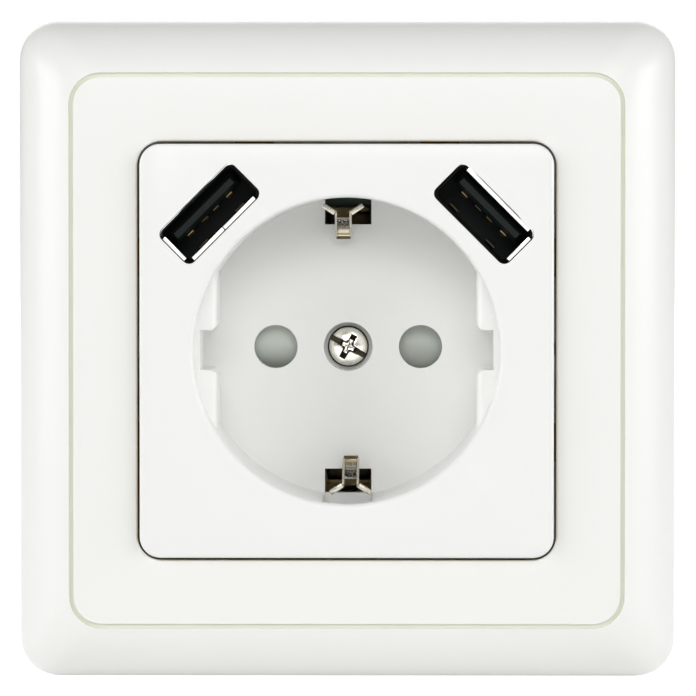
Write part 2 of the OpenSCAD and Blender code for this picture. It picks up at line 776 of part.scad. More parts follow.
// Earth bracket: strap, two upright arms, two bowed fingers with flared lips
arm_path = [[0, strap_z], [arm_r, strap_z], [arm_r, arm_top_z]];
finger_path = [
    [arm_r, arm_top_z - bend], [arm_r, floor_z + bend], [crest_r + strip_t / 2, crest_z],
    [arm_r - bend / 2, lip_low_z], [arm_r - bend / 4, lip_low_z + lip_l]
];
lip_path = [
    [-finger_w / 2 - lip_out, arm_r + lip_back - bend / 4], [-finger_w / 2, arm_r - bend / 4],
    [finger_w / 2, arm_r - bend / 4], [finger_w / 2 + lip_out, arm_r + lip_back - bend / 4]
];

module earth_clip() {
    rotate([0, 0, 90]) swept(strap_w) polygon(strip(bent(arm_path, bend), strip_t));
    translate([-finger_shift, 0, 0]) {
        rotate([0, 0, 90]) swept(finger_w) polygon(strip(bent(finger_path, bend), strip_t));
        slab(lip_low_z, lip_low_z + lip_l) polygon(strip(bent(lip_path, strip_t), strip_t));
    }
}

module earth_bracket() color("tan") stand() difference() {
    union() {
        for (turn = [0, 180]) rotate([0, 0, turn]) earth_clip();
        disc(neck_pad_r, strap_low_z, strap_z + strip_t / 2);
        disc(neck_r, strap_low_z - neck_l, strap_z);
        box_on(-tail_w / 2, tail_w / 2, -cage_in_y, -cage_in_y + strip_t, cage_mid_z, strap_z);
    }
    disc(screw_r + thread_gap, strap_low_z - neck_l - over, strap_z + over);
}

// Pin contacts: two leaves that pinch the pin, a web and a tail to the terminal
module pin_contact(side) translate([side * pin_x, 0, 0]) {
    for (s = [-1, 1]) swept(contact_w) polygon(strip(bent([
        [s * leaf_x, web_z], [s * leaf_x, (web_z + contact_top_z) / 2],
        [s * waist_x, contact_top_z - 2 * bend], [s * leaf_x, contact_top_z]
    ], bend), contact_t));
    box_on(-leaf_x - contact_t / 2, leaf_x + contact_t / 2, -contact_w / 2, contact_w / 2,
        web_z - contact_t / 2, web_z + contact_t / 2);
    box_on(-tail_w / 2, tail_w / 2, -cage_in_y, -contact_w / 2 + bite, web_z - contact_t / 2, web_z + contact_t / 2);
}

module live_contact() color("goldenrod") stand() pin_contact(-1);
module neutral_contact() color("goldenrod") stand() pin_contact(1);

module cage(place) translate([place * terminal_pitch, 0, 0]) difference() {
    box_on(-cage_w / 2, cage_w / 2, -cage_out_y, -cage_in_y, cage_low_z, cage_low_z + cage_h);
    translate([0, -wire_y]) disc(wire_r, cage_low_z - over, cage_low_z + cage_h + over);
    translate([0, 0, cage_mid_z]) rotate([90, 0, 0])
        disc(clamp_screw_r + thread_gap, wire_y, cage_out_y + over);
}

module terminal_live() color("darkkhaki") stand() cage(-1);
module terminal_neutral() color("darkkhaki") stand() cage(1);
module terminal_earth() color("darkkhaki") stand() cage(0);

module clamp_screw() translate([0, 0, cage_mid_z]) rotate([90, 0, 0]) difference() {
    union() {
        disc(clamp_screw_r, wire_y + wire_r + seat_gap, cage_out_y + bite);
        disc(clamp_head_r, cage_out_y + seat_gap, cage_out_y + seat_gap + clamp_head_h);
    }
    box_on(-clamp_head_r - over, clamp_head_r + over, -clamp_slot_w / 2, clamp_slot_w / 2,
        cage_out_y + seat_gap + clamp_head_h - clamp_slot_depth, cage_out_y + clamp_head_h + over);
}

module terminal_screws() color("silver") stand()
    for (place = [-1, 0, 1]) translate([place * terminal_pitch, 0, 0]) clamp_screw();

// USB port: metal shell with two sprung tabs on each long side
module shell_tab(side, dip) translate([0, 0, usb_back_z + tab_low]) rotate([0, 0, 90]) swept(tab_w)
    polygon(strip(bent([
        [side * (usb_h - usb_wall) / 2, -tab_gap], [side * (usb_h - usb_wall) / 2, tab_gap],
        [side * ((usb_h - usb_wall) / 2 - dip), tab_l - 4 * tab_gap],
        [side * ((usb_h - usb_wall) / 2 - dip / 2), tab_l - tab_gap]
    ], tab_gap), usb_wall));

module usb_shell(port) at_port(port) {
    difference() {
        slab(usb_back_z, usb_front_z) difference() {
            rounded_rect(usb_w, usb_h, usb_corner_r);
            rounded_rect(usb_in_w, usb_in_h, usb_in_r);
        }
        for (x = [-1, 1] * tab_x)
            box_on(x - tab_w / 2 - tab_gap, x + tab_w / 2 + tab_gap, -usb_h, usb_h,
                usb_back_z + tab_low, usb_back_z + tab_low + tab_l);
    }
    for (x = [-1, 1] * tab_x) translate([x, 0, 0]) {
        shell_tab(-1, tab_dip);
        shell_tab(1, tab_dip_small);
    }
}

module usb_tongue(port) at_port(port) {
    slab(usb_back_z, usb_back_z + usb_base_l)
        rounded_rect(usb_in_w - 2 * thread_gap, usb_in_h - 2 * thread_gap, usb_in_r);
    translate([0, tongue_face_y + tongue_t / 2]) slab(usb_back_z, usb_front_z - tongue_set_back)
        square([tongue_w, tongue_t], center = true);
}

module usb_contacts(port) at_port(port) for (i = [0 : len(contact_places) - 1])
    translate([contact_places[i], 0, 0]) box_on(-usb_contact_w / 2, usb_contact_w / 2,
        tongue_face_y - usb_contact_t, tongue_face_y, usb_back_z + usb_base_l,
        usb_front_z - contact_set_back - (i % 3 == 0 ? 0 : short_by));

module usb_shell_left() color("gainsboro") stand() usb_shell(-1);
module usb_shell_right() color("gainsboro") stand() usb_shell(1);
module usb_tongue_left() color("dimgray") stand() usb_tongue(-1);
module usb_tongue_right() color("dimgray") stand() usb_tongue(1);
module usb_contacts_left() color("gold") stand() usb_contacts(-1);
module usb_contacts_right() color("gold") stand() usb_contacts(1);

// Circuit boards, joined by a row of header pins
module header_places() for (k = [0 : pin_count - 1])
    translate([(k - (pin_count - 1) / 2) * header_pitch, header_y, 0]) children();

module usb_board() color("seagreen") stand() difference() {
    sector(usb_board_r, board_edge_r, usb_board_angle, 180 - usb_board_angle, usb_board_low_z, usb_back_z);
    box_on(-slot_boss_half - ring_gap, slot_boss_half + ring_gap, 0, slot_boss_y + ring_gap,
        usb_board_low_z - over, usb_back_z + over);
    slab(usb_board_low_z - over, usb_back_z + over) header_places()
        square(header_pin + 2 * thread_gap, center = true);
}

module power_board() color("seagreen") stand() difference() {
    intersection() {
        disc(board_edge_r, power_board_low_z, power_board_top_z);
        box_on(-housing_r, housing_r, power_board_y, housing_r, power_board_low_z, power_board_top_z);
    }
    slab(power_board_low_z - over, power_board_top_z + over) header_places()
        square(header_pin + 2 * thread_gap, center = true);
}

module board_pins() color("gold") stand() slab(power_board_low_z - header_out, usb_back_z + header_out)
    header_places() square(header_pin, center = true);

module transformer() color("khaki") stand() translate([0, transformer_y, 0]) {
    slab(part_top_z - transformer_h, part_top_z)
        square([transformer_w, core_d], center = true);
    slab(part_top_z - transformer_h + boss_wall, part_top_z - boss_wall)
        rounded_rect(transformer_w - 2 * boss_wall, transformer_d, core_d / 2);
}

// A capacitor can hangs from its board, with a crimped ring near its foot
module capacitor(r, h) translate([0, 0, part_top_z - h]) rotate_extrude() polygon([
    [0, 0], [r - crimp, 0], [r, crimp], [r, h - 6 * crimp], [r - crimp, h - 5 * crimp],
    [r, h - 4 * crimp], [r, h - crimp], [r - crimp, h], [0, h]
]);

module at_edge(angle, r) rotate([0, 0, angle]) translate([housing_in_r - r - can_gap, 0, 0]) children();

module input_capacitor() color("slategray") stand() at_edge(input_cap_angle, input_cap_r)
    capacitor(input_cap_r, input_cap_h);
module output_capacitor() color("slategray") stand() at_edge(output_cap_angle, output_cap_r)
    capacitor(output_cap_r, output_cap_h);

// Steel mounting ring on the wall, with slots for the box's screws
module box_slot() translate([box_spacing / 2, 0]) {
    square([box_slot_l - box_slot_w, box_slot_w], center = true);
    for (x = [-1, 1]) translate([x * (box_slot_l - box_slot_w) / 2, 0]) circle(box_slot_w / 2);
}

module at_ring_screws() for (x = [-1, 1])
    rotate([0, 0, -90 + x * (90 - ring_screw_angle)]) translate([ring_screw_reach, 0, 0]) children();

module mounting_ring() color("lightgray") stand() slab(0, ring_t) difference() {
    rounded_rect(ring_w, ring_w, ring_corner_r);
    circle(well_outer_r + ring_gap);
    square([2 * (slot_boss_half + ring_gap), 2 * (slot_boss_y + ring_gap)], center = true);
    for (x = [-1, 1]) {
        at_port(x) rounded_rect(usb_w + 2 * ring_gap, usb_h + 2 * ring_gap, usb_corner_r + ring_gap);
        translate([x * claw_screw_x, 0]) circle(claw_screw_r + claw_screw_fit);
    }
    for (turn = [0 : 90 : 270]) rotate([0, 0, turn]) box_slot();
    at_ring_screws() circle(ring_screw_r + seat_gap);
}

module ring_screws() color("silver") stand() at_ring_screws() difference() {
    union() {
        disc(low_screw_head_r, ring_t, ring_t + low_screw_head_h);
        disc(ring_screw_r, ring_t - low_screw_l, ring_t + bite);
    }
    box_on(-low_screw_head_r - over, low_screw_head_r + over, -clamp_slot_w / 2, clamp_slot_w / 2,
        ring_t + low_screw_head_h - clamp_slot_depth, ring_t + low_screw_head_h + over);
}

// Spreading claw: a foot on the screw and a toothed arm, drawn about its pivot
module claw_form() difference() {
    union() {
        swept(claw_w) polygon(strip(bent([[-foot_in, 0], [arm_out, 0], [arm_out, claw_arm]], claw_bend), claw_t));
        for (k = [0, 1]) swept(claw_w) translate([arm_out, claw_arm - k * tooth_w]) polygon([
            [0, 0], [claw_t / 2 + tooth_h, -tooth_w / 4], [claw_t / 2, -tooth_w], [0, -tooth_w]
        ]);
    }
    slab(-claw_t, claw_t) {
        square([2 * (claw_slot_half - claw_screw_r), 2 * (claw_screw_r + 2 * claw_screw_fit)], center = true);
        for (x = [-1, 1]) translate([x * (claw_slot_half - claw_screw_r), 0])
            circle(claw_screw_r + 2 * claw_screw_fit);
    }
}

module claw(side) translate([side * claw_screw_x, 0, pivot_z]) rotate([0, 0, 90 - 90 * side]) claw_form();

module claw_screw(side) translate([side * claw_screw_x, 0, claw_head_z]) difference() {
    union() {
        disc(claw_head_r, 0, claw_head_h);
        disc(claw_screw_r, -claw_screw_l, bite);
    }
    box_on(-claw_head_r - over, claw_head_r + over, -clamp_slot_w / 2, clamp_slot_w / 2,
        claw_head_h - clamp_slot_depth, claw_head_h + over);
}

module claw_left() color("darkgray") stand() claw(-1);
module claw_right() color("darkgray") stand() claw(1);
module claw_screw_left() color("silver") stand() claw_screw(-1);
module claw_screw_right() color("silver") stand() claw_screw(1);

// Housing: a cup with two claw bays, two pin chambers, a middle pillar and three terminal stalls
module housing_cup() difference() {
    disc(housing_r, -housing_depth, 0);
    disc(housing_in_r, housing_floor_z, over);
    box_on(-housing_r, housing_r, -housing_r - over, -terminal_flat_y, -housing_depth - over, over);
}

module bay_block(side) rotate([0, 0, 90 - 90 * side]) {
    box_on(bay_front_x - rib_t, housing_r, -bay_half - rib_t, bay_half + rib_t, bay_floor_z - rib_t, 0);
    box_on(bay_back_x - rib_t, housing_r, -bay_half - rib_t, bay_half + rib_t,
        bay_floor_z - rib_t, bay_step_z + rib_t);
}

module bay_cut(side) rotate([0, 0, 90 - 90 * side]) {
    box_on(bay_front_x, housing_r + over, -bay_half, bay_half, bay_floor_z, over);
    box_on(bay_back_x, housing_r + over, -bay_half, bay_half, bay_floor_z, bay_step_z);
}

module pin_chamber(side) translate([side * pin_x, 0, 0]) difference() {
    box_on(-chamber_x - rib_t, chamber_x + rib_t, -chamber_y - rib_t, chamber_y + rib_t,
        housing_floor_z - bite, carrier_low_z - seat_gap);
    box_on(-chamber_x, chamber_x, -chamber_y, chamber_y, housing_floor_z, carrier_low_z + over);
    box_on(-tail_w / 2 - bite, tail_w / 2 + bite, -chamber_y - rib_t - over, 0,
        housing_floor_z, web_z + contact_t);
}

module housing_inside() {
    for (side = [-1, 1]) {
        bay_block(side);
        pin_chamber(side);
        translate([side * board_post_x, board_post_y]) disc(board_post_r, housing_floor_z - bite, power_board_low_z);
    }
    difference() {
        disc(neck_pad_r, housing_floor_z - bite, strap_low_z - seat_gap);
        disc(neck_r + seat_gap, seat_z - screw_l - bite, strap_z);
    }
    for (x = [-1, 1] * terminal_pitch / 2)
        box_on(x - rib_t / 2, x + rib_t / 2, -flat_in_y - bite, -cage_in_y + over,
            housing_floor_z - bite, cage_low_z + cage_h + over);
    box_on(-housing_r, housing_r, -terminal_flat_y, -flat_in_y, -housing_depth, 0);
    at_ring_screws() disc(ring_screw_r + boss_wall, ring_t - low_screw_l - low_screw_floor, 0);
    sector(housing_in_r - ledge_w, housing_in_r + bite, usb_board_angle, 180 - usb_board_angle,
        usb_board_low_z - ledge_t, usb_board_low_z);
}

module base_housing() color("gainsboro") stand() difference() {
    union() {
        housing_cup();
        intersection() {
            disc(housing_r, -housing_depth, 0);
            union() housing_inside();
        }
    }
    for (side = [-1, 1]) {
        bay_cut(side);
        at_port(side) slab(usb_back_z - seat_gap, over)
            rounded_rect(usb_w + 2 * ring_gap, usb_h + 2 * ring_gap, usb_corner_r + ring_gap);
    }
    for (place = [-1, 0, 1]) translate([place * terminal_pitch, 0, 0]) {
        translate([0, -wire_y]) disc(wire_r, -housing_depth - over, housing_floor_z + over);
        translate([0, -wire_y, -housing_depth]) cylinder(r1 = wire_r + funnel, r2 = wire_r, h = funnel);
        translate([0, 0, cage_mid_z]) rotate([90, 0, 0])
            disc(clamp_head_r + 2 * seat_gap, flat_in_y - over, terminal_flat_y + over);
    }
    at_ring_screws() disc(ring_screw_r + thread_gap, ring_t - low_screw_l - seat_gap, over);
}

cover_frame();
socket_cover();
centre_screw();
shutter();
shutter_spring();
contact_carrier();
earth_bracket();
live_contact();
neutral_contact();
terminal_live();
terminal_neutral();
terminal_earth();
terminal_screws();
usb_shell_left();
usb_shell_right();
usb_tongue_left();
usb_tongue_right();
usb_contacts_left();
usb_contacts_right();
usb_board();
power_board();
board_pins();
transformer();
input_capacitor();
output_capacitor();
mounting_ring();
ring_screws();
claw_left();
claw_right();
claw_screw_left();
claw_screw_right();
base_housing();
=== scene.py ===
import json
import math

import bmesh
import bpy
from mathutils import Matrix, Vector

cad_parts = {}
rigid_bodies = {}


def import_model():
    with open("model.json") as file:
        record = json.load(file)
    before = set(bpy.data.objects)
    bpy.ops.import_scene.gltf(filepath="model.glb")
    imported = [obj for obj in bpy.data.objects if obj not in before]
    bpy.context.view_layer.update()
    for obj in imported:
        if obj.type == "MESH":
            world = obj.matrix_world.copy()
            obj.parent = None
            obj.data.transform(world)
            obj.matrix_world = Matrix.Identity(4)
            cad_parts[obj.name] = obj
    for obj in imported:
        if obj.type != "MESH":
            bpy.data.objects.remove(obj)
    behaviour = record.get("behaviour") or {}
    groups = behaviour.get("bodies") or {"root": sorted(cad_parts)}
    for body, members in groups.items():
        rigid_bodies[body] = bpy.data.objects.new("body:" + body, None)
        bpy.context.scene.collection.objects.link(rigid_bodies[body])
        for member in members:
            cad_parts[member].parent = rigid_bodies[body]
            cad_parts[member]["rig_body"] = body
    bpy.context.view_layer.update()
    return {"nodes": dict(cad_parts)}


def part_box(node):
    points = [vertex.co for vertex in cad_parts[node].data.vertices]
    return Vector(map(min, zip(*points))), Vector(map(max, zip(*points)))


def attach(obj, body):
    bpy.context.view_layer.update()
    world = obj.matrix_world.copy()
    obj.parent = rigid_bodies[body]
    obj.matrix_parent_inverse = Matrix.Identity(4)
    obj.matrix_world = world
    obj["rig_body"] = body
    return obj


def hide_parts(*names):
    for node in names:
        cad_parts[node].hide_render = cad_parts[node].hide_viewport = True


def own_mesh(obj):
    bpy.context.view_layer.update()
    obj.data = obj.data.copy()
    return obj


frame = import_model()

bl_info = {
    "name": "Wall socket with USB ports",
    "version": (1, 0, 0),
    "blender": (4, 5, 0),
    "location": "3D View > Sidebar > Wall socket",
    "description": "Models and finishes a flush wall socket with two USB ports over its solids",
    "category": "Add Mesh",
}

MM = 0.001
FRONT_LOW, FRONT_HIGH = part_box("cover_frame")
INSERT_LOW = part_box("socket_cover")[0]


# Sizes and colours
#
# A piece is drawn lying on its back, in millimetres: x to the right, y up the wall, and z as the level
# above the wall. stand() then puts it on the wall.


def mm(label, value, description):
    return bpy.props.FloatProperty(name=label + " (mm)", description=description, default=value)


def degrees(label, value, description):
    return bpy.props.FloatProperty(
        name=label, description=description, default=math.radians(value), subtype="ANGLE")


def metres(label, value, description):
    return bpy.props.FloatProperty(name=label, description=description, default=value, unit="LENGTH")


def amount(label, value, description):
    return bpy.props.FloatProperty(name=label, description=description, default=value)


def paint(label, value, description):
    return bpy.props.FloatVectorProperty(
        name=label, description=description, default=value, subtype="COLOR", size=3, min=0, max=1)


class SocketSizes(bpy.types.PropertyGroup):
    smooth_angle: degrees("Smooth angle", 34, "Edges flatter than this are shaded smooth")
    sharp_angle: degrees("Sharp angle", 40, "Screw head edges sharper than this are softened")
    weld: mm("Weld distance", 0.002, "Points of a solid that are nearer than this become one")
    cover_w: mm("Cover width", (FRONT_HIGH.x - FRONT_LOW.x) / MM, "Across the whole cover frame")
    cover_h: mm("Cover height", -FRONT_LOW.y / MM, "From the wall to the flat band")
    edge_h: mm("Edge height", 1.2, "From the wall to the foot of the bowed border")
    corner_r: mm("Corner radius", 5.0, "Outer corners of the cover frame")
    bow_start: degrees("Bow start", 17, "Where on its circle the border's bow starts, at the edge")
    bow_end: degrees("Bow end", 72, "Where on its circle the border's bow ends, at the band")
    band_w: mm("Band width", 71.7, "Across the flat band with its groove")
    band_r: mm("Band corner radius", 4.15, "Outer corners of the flat band")
    skin: mm("Cover wall", 2.0, "Thickness of the cover frame's wall")
    groove_w: mm("Groove width", 0.5, "Across the fine groove round the band")
    groove_h: mm("Groove depth", 0.5, "Depth of the fine groove")
    rib_x: mm("Rib place", 17.0, "From the middle of each side to its two ribs")
    rib_t: mm("Rib thickness", 1.2, "Thickness of the ribs behind the band")
    window_w: mm("Window width", 54.0, "Across the opening for the insert")
    window_r: mm("Window corner radius", 3.0, "Corners of the opening for the insert")
    window_edge: mm("Window edge rounding", 0.35, "Rounding of the opening's front edge")
    lip_t: mm("Window lip thickness", 1.5, "Thickness of the lip round the opening")
    lip_low: mm("Window lip height", 4.0, "Level at which the lip ends")
    slot_half: mm("Upper slot half width", 3.05, "From the middle to the side of the upper clip's slot")
    slot_top: mm("Upper slot end", 19.72, "How far up the upper clip's slot runs")
    spring_turn: degrees("Spring angle", 44, "Turn of the spring's line below the level pin line")
    spring_reach: mm("Spring distance", 9.2, "From the well's axis to the spring's line")
    spring_back: mm("Spring fixed end", -4.88, "Place of the fixed end along the spring's line")
    spring_depth: mm("Spring depth", 11.95, "How far the spring lies behind the wall")
    spring_keep: amount("Spring length left", 0.19, "Share of its length at the shutter's limit")
    head_r: mm("Screw head radius", 2.7, "Head of the centre screw")
    head_top: mm("Screw head level", -8.7, "Top of the centre screw's head")
    seat: mm("Screw seat level", -10.5, "Level on which the centre screw's head sits")
    dome_r: mm("Screw dome radius", 4.956, "Ball that the centre screw's dome is cut from")
    shank_r: mm("Screw shank radius", 1.75, "Outer radius of the centre screw's thread")
    screw_l: mm("Screw length", 9.0, "Centre screw below its seat")
    recess_turn: degrees("Recess turn", -29, "Turn of the centre screw's slot and cross")
    pitch: mm("Thread pitch", 0.7, "Rise of each thread in one turn")
    thread_h: mm("Thread depth", 0.32, "Height of each thread's vee")
    port_w: mm("Port shell width", 13.14, "Long side of a port's shell")
    port_h: mm("Port shell height", 5.72, "Short side of a port's shell")
    port_sheet: mm("Port sheet", 0.3, "Thickness of a shell's sheet")
    port_front: mm("Port front level", 8.8, "Level of the shells' raised lips")
    port_back: mm("Port back level", -1.0, "Level at which the shells end")
    port_reach: mm("Port distance", 25.0, "From the well's axis to a port's middle")
    port_turn: degrees("Port turn", 45, "How far the ports are turned from level")
    tongue_w: mm("Tongue width", 11.1, "Long side of a port's tongue")
    tongue_t: mm("Tongue thickness", 1.84, "Short side of a port's tongue")
    tongue_y: mm("Tongue face", 0.1, "Place of the tongue's contact face across its port")
    clip_t: mm("Clip sheet", 0.6, "Thickness of the earth strip")
    finger_w: mm("Finger width", 2.2, "Across a finger with its raised edges")
    finger_shift: mm("Finger shift", 0.4, "How far a finger stands beside the middle")
    finger_more: mm("Upper finger shift", 0.15, "How much further the upper finger stands beside the middle")
    claw_x: mm("Claw screw place", 24.2, "From the middle to a claw screw")
    claw_head: mm("Claw screw head level", 1.25, "Level on which a claw screw's head sits")
    entry_pitch: mm("Wire entry spacing", 9.5, "From one wire entry to the next")
    entry_r: mm("Wire entry skin radius", 2.2, "Skin across a wire entry")
    entry_y: mm("Wire entry place", -17.9, "Height of the wire entries")
    entry_skin: mm("Wire entry skin level", -31.0, "Level of the skin's back")
    entry_skin_t: mm("Wire entry skin thickness", 0.3, "Thickness of the skin")


class SocketFinish(bpy.types.PropertyGroup):
    cover_white: paint("Cover white", (0.905, 0.907, 0.882), "Colour of the cover frame")
    insert_white: paint("Insert white", (0.905, 0.908, 0.888), "Colour of the insert with the plug well")
    housing_grey: paint("Housing grey", (0.66, 0.66, 0.63), "Colour of the rear housing")
    shutter_grey: paint("Shutter grey", (0.66, 0.705, 0.645), "Colour of the shutter behind the pin holes")
    clip_metal: paint("Clip metal", (0.60, 0.57, 0.50), "Colour of the earth clips")


class SocketStage(bpy.types.PropertyGroup):
    camera_distance: metres("Camera distance", 0.86, "From the camera to the insert's front")
    camera_above: degrees("Camera above", 2.0, "Angle of the view above level")
    camera_right: degrees("Camera right", 0.67, "Angle of the view to the right of straight ahead")
    camera_lens: bpy.props.FloatProperty(
        name="Lens", description="Focal length on a 36 mm sensor", default=345.35, unit="CAMERA")
    aim_right: metres("Aim right", 0.18 * MM, "How far the view's middle lies right of the insert's middle")
    aim_up: metres("Aim up", 0.42 * MM, "How far the view's middle lies above the insert's middle")
    sky_level: amount("Sky level", 0.275, "Strength of the even light from all sides")
    side_power: amount("Side lamps", 18.2, "Power of each side lamp in watts")
    back_power: amount("Back lamp", 7.0, "Power of the lamp behind the wall's plane in watts")
    top_power: amount("Top lamp", 7.3, "Power of the lamp above in watts")
    floor_bounce: amount("Floor bounce", 0.05, "Light that the floor adds to what it reflects")
    floor_glow: amount("Floor glow", 0.8, "Light that the floor adds for the camera and for reflections")


SIZES, FINISH, STAGE = "socket_sizes", "socket_finish", "socket_stage"


def sizes():
    return getattr(bpy.context.scene, SIZES)


def finish():
    return getattr(bpy.context.scene, FINISH)


def stage():
    return getattr(bpy.context.scene, STAGE)


# Small helpers for modelling


def deselect():
    if bpy.context.object and bpy.context.object.mode != "OBJECT":
        bpy.ops.object.mode_set(mode="OBJECT")
    bpy.ops.object.select_all(action="DESELECT")


def make_active(obj):
    deselect()
    obj.select_set(True)
    bpy.context.view_layer.objects.active = obj


def settle(obj):
    """Puts the piece's place into its mesh, so that its object sits at the origin."""
    make_active(obj)
    bpy.ops.object.transform_apply(location=True, rotation=True, scale=True)


def edit(obj, kind="FACE"):
    make_active(obj)
    bpy.ops.object.mode_set(mode="EDIT")
    bpy.ops.mesh.select_mode(type=kind)
    bpy.ops.mesh.select_all(action="DESELECT")


def done():
    bpy.ops.object.mode_set(mode="OBJECT")


def pick(obj, test, kind="faces"):
    """Selects the faces, edges or vertices that pass the test, and nothing else."""
    bpy.ops.mesh.select_all(action="DESELECT")
    bm = bmesh.from_edit_mesh(obj.data)
    for part in getattr(bm, kind):
        if test(part):
            part.select_set(True)
    bm.select_flush_mode()
    bmesh.update_edit_mesh(obj.data)


def name_it(obj, name):
    obj.name = name
    obj.data.name = name
    return obj


def smooth(obj, angle=None):
    make_active(obj)
    bpy.ops.object.shade_smooth_by_angle(angle=angle or sizes().smooth_angle)


def apply_modifier(obj, kind, **values):
    modifier = obj.modifiers.new(kind.title(), kind)
    for key, value in values.items():
        setattr(modifier, key, value)
    make_active(obj)
    bpy.ops.object.modifier_apply(modifier=modifier.name)


def cut(piece, cutter):
    """Takes the cutter's shape out of the piece."""
    apply_modifier(piece, "BOOLEAN", operation="DIFFERENCE", solver="EXACT", object=cutter)
    bpy.data.objects.remove(cutter)


def soften(head, width):
    """Rounds the sharp edges of a screw's head."""
    apply_modifier(head, "BEVEL", width=width, segments=2, limit_method="ANGLE",
                   angle_limit=sizes().sharp_angle)


def outward(obj):
    edit(obj)
    bpy.ops.mesh.select_all(action="SELECT")
    bpy.ops.mesh.normals_make_consistent(inside=False)
    done()


def reach_of(face):
    """How far a face lies from the well's axis, measured square to it."""
    middle = face.calc_center_median()
    return max(abs(middle.x), abs(middle.z))


def body_of(node):
    return frame["nodes"][node]["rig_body"]


def dress(obj, material, *nodes, slot=None):
    """Gives the piece its finish, lets it ride on its node's body and stand for the nodes."""
    if material:
        obj.data.materials.clear()
        obj.data.materials.append(material)
    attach(obj, body_of(nodes[0]))
    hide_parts(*nodes)


def merged_copy(node, name):
    """A copy of a solid's mesh with its loose triangles welded and its faces shaded smooth by angle."""
    source = frame["nodes"][node]
    copy = bpy.data.objects.new(name, source.data.copy())
    bpy.context.scene.collection.objects.link(copy)
    name_it(copy, name)
    edit(copy, "VERT")
    bpy.ops.mesh.select_all(action="SELECT")
    bpy.ops.mesh.remove_doubles(threshold=sizes().weld * MM)
    bpy.ops.mesh.customdata_custom_splitnormals_clear()
    done()
    smooth(copy)
    return copy


def stand(obj, turn=0.0, reach=0.0):
    """Turns a piece drawn lying on its back in millimetres into its place on the wall."""
    obj.matrix_basis = (Matrix.Scale(MM, 4) @ Matrix.Rotation(math.radians(90), 4, "X")
                        @ Matrix.Rotation(turn, 4, "Z") @ Matrix.Translation((0, reach, 0))
                        @ obj.matrix_basis)
    settle(obj)
    return obj


def join(name, *parts):
    deselect()
    for part in parts:
        part.select_set(True)
    bpy.context.view_layer.objects.active = parts[0]
    bpy.ops.object.join()
    return name_it(parts[0], name)


def spot(place):
    """A place rounded, so that a vertex is found by it."""
    return tuple(round(x, 4) for x in place)


def outline(spec, steps):
    """The points of a circle (radius, level) or of a rounded rectangle (width, height, radius, level)."""
    if len(spec) == 2:
        radius, level = spec
        angles = [math.tau * step / steps for step in range(steps)]
        return [Vector((radius * math.cos(angle), radius * math.sin(angle), level)) for angle in angles]
    width, height, radius, level = spec
    points = []
    for corner, (x, y) in enumerate(((1, 1), (-1, 1), (-1, -1), (1, -1))):
        for step in range(steps + 1):
            angle = math.radians(90) * (corner + step / steps)
            points.append(Vector((x * (width / 2 - radius) + radius * math.cos(angle),
                                  y * (height / 2 - radius) + radius * math.sin(angle), level)))
    return points


def loft(name, specs, steps=8, closed=False, caps=False):
    """A skin extruded from outline to outline, closed on itself or with a face over each end."""
    outlines = [outline(spec, steps) for spec in specs]
    if closed:
        outlines.append(outlines[0])
    bpy.ops.mesh.primitive_circle_add(vertices=len(outlines[0]), radius=1)
    obj = name_it(bpy.context.object, name)
    obj.data.attributes.new("ring", "INT", "POINT")
    places = {spot(vert.co): point for vert, point in zip(obj.data.vertices, outlines[0])}
    edit(obj, "EDGE")
    bpy.ops.mesh.select_all(action="SELECT")
    for index, points in enumerate(outlines):
        if index:
            bpy.ops.mesh.extrude_edges_move()
            places = {spot(before): point for before, point in zip(outlines[index - 1], points)}
        bm = bmesh.from_edit_mesh(obj.data)
        mark = bm.verts.layers.int["ring"]
        for vert in bm.verts:
            if vert.select:
                vert.co = places[spot(vert.co)]
                vert[mark] = index
        bmesh.update_edit_mesh(obj.data)
    bpy.ops.mesh.select_all(action="SELECT")
    if closed:
        bpy.ops.mesh.remove_doubles(threshold=0.0001)
    if caps:
        bpy.ops.mesh.fill_holes(sides=0)
    done()
    outward(obj)
    return obj


def block(x0, x1, y0, y1, z0, z1, rounding=0.0):
    bpy.ops.mesh.primitive_cube_add(size=1, location=((x0 + x1) / 2, (y0 + y1) / 2, (z0 + z1) / 2))
    obj = bpy.context.object
    obj.scale = (x1 - x0, y1 - y0, z1 - z0)
    settle(obj)
    if rounding:
        apply_modifier(obj, "BEVEL", width=rounding, segments=3)
    return obj


def eased(points, reach, steps=5):
    """The path with each of its corners turned in short steps."""
    path = [Vector(points[0])]
    for before, corner, after in zip(points, points[1:], points[2:]):
        before, corner, after = Vector(before), Vector(corner), Vector(after)
        start = corner + (before - corner).normalized() * min(reach, (before - corner).length / 2)
        end = corner + (after - corner).normalized() * min(reach, (after - corner).length / 2)
        for step in range(steps + 1):
            share = step / steps
            path.append(start * (1 - share) ** 2 + corner * 2 * share * (1 - share) + end * share ** 2)
    path.append(Vector(points[-1]))
    nearest = 0.02
    return [path[0]] + [there for here, there in zip(path, path[1:]) if (there - here).length > nearest]


def sheet(path, width, thickness, across=0.0, rounding=0.0):
    """A strip of sheet bent along a path of (y, z) points."""
    bpy.ops.mesh.primitive_plane_add(size=1, location=(across, 0, 0))
    obj = bpy.context.object
    obj.scale = (width, 1, 1)
    settle(obj)
    edit(obj, "VERT")
    pick(obj, lambda vert: vert.co.y > 0, "verts")
    bpy.ops.mesh.delete(type="VERT")
    bpy.ops.mesh.select_all(action="SELECT")
    bpy.ops.transform.translate(value=(0, path[0][0] + 0.5, path[0][1]))
    for here, there in zip(path, path[1:]):
        bpy.ops.mesh.extrude_edges_move(
            TRANSFORM_OT_translate={"value": (0, there[0] - here[0], there[1] - here[1])})
    done()
    apply_modifier(obj, "SOLIDIFY", thickness=thickness, offset=0.0, use_even_offset=True)
    if rounding:
        apply_modifier(obj, "BEVEL", width=rounding, segments=2, angle_limit=math.radians(50))
    outward(obj)
    return obj


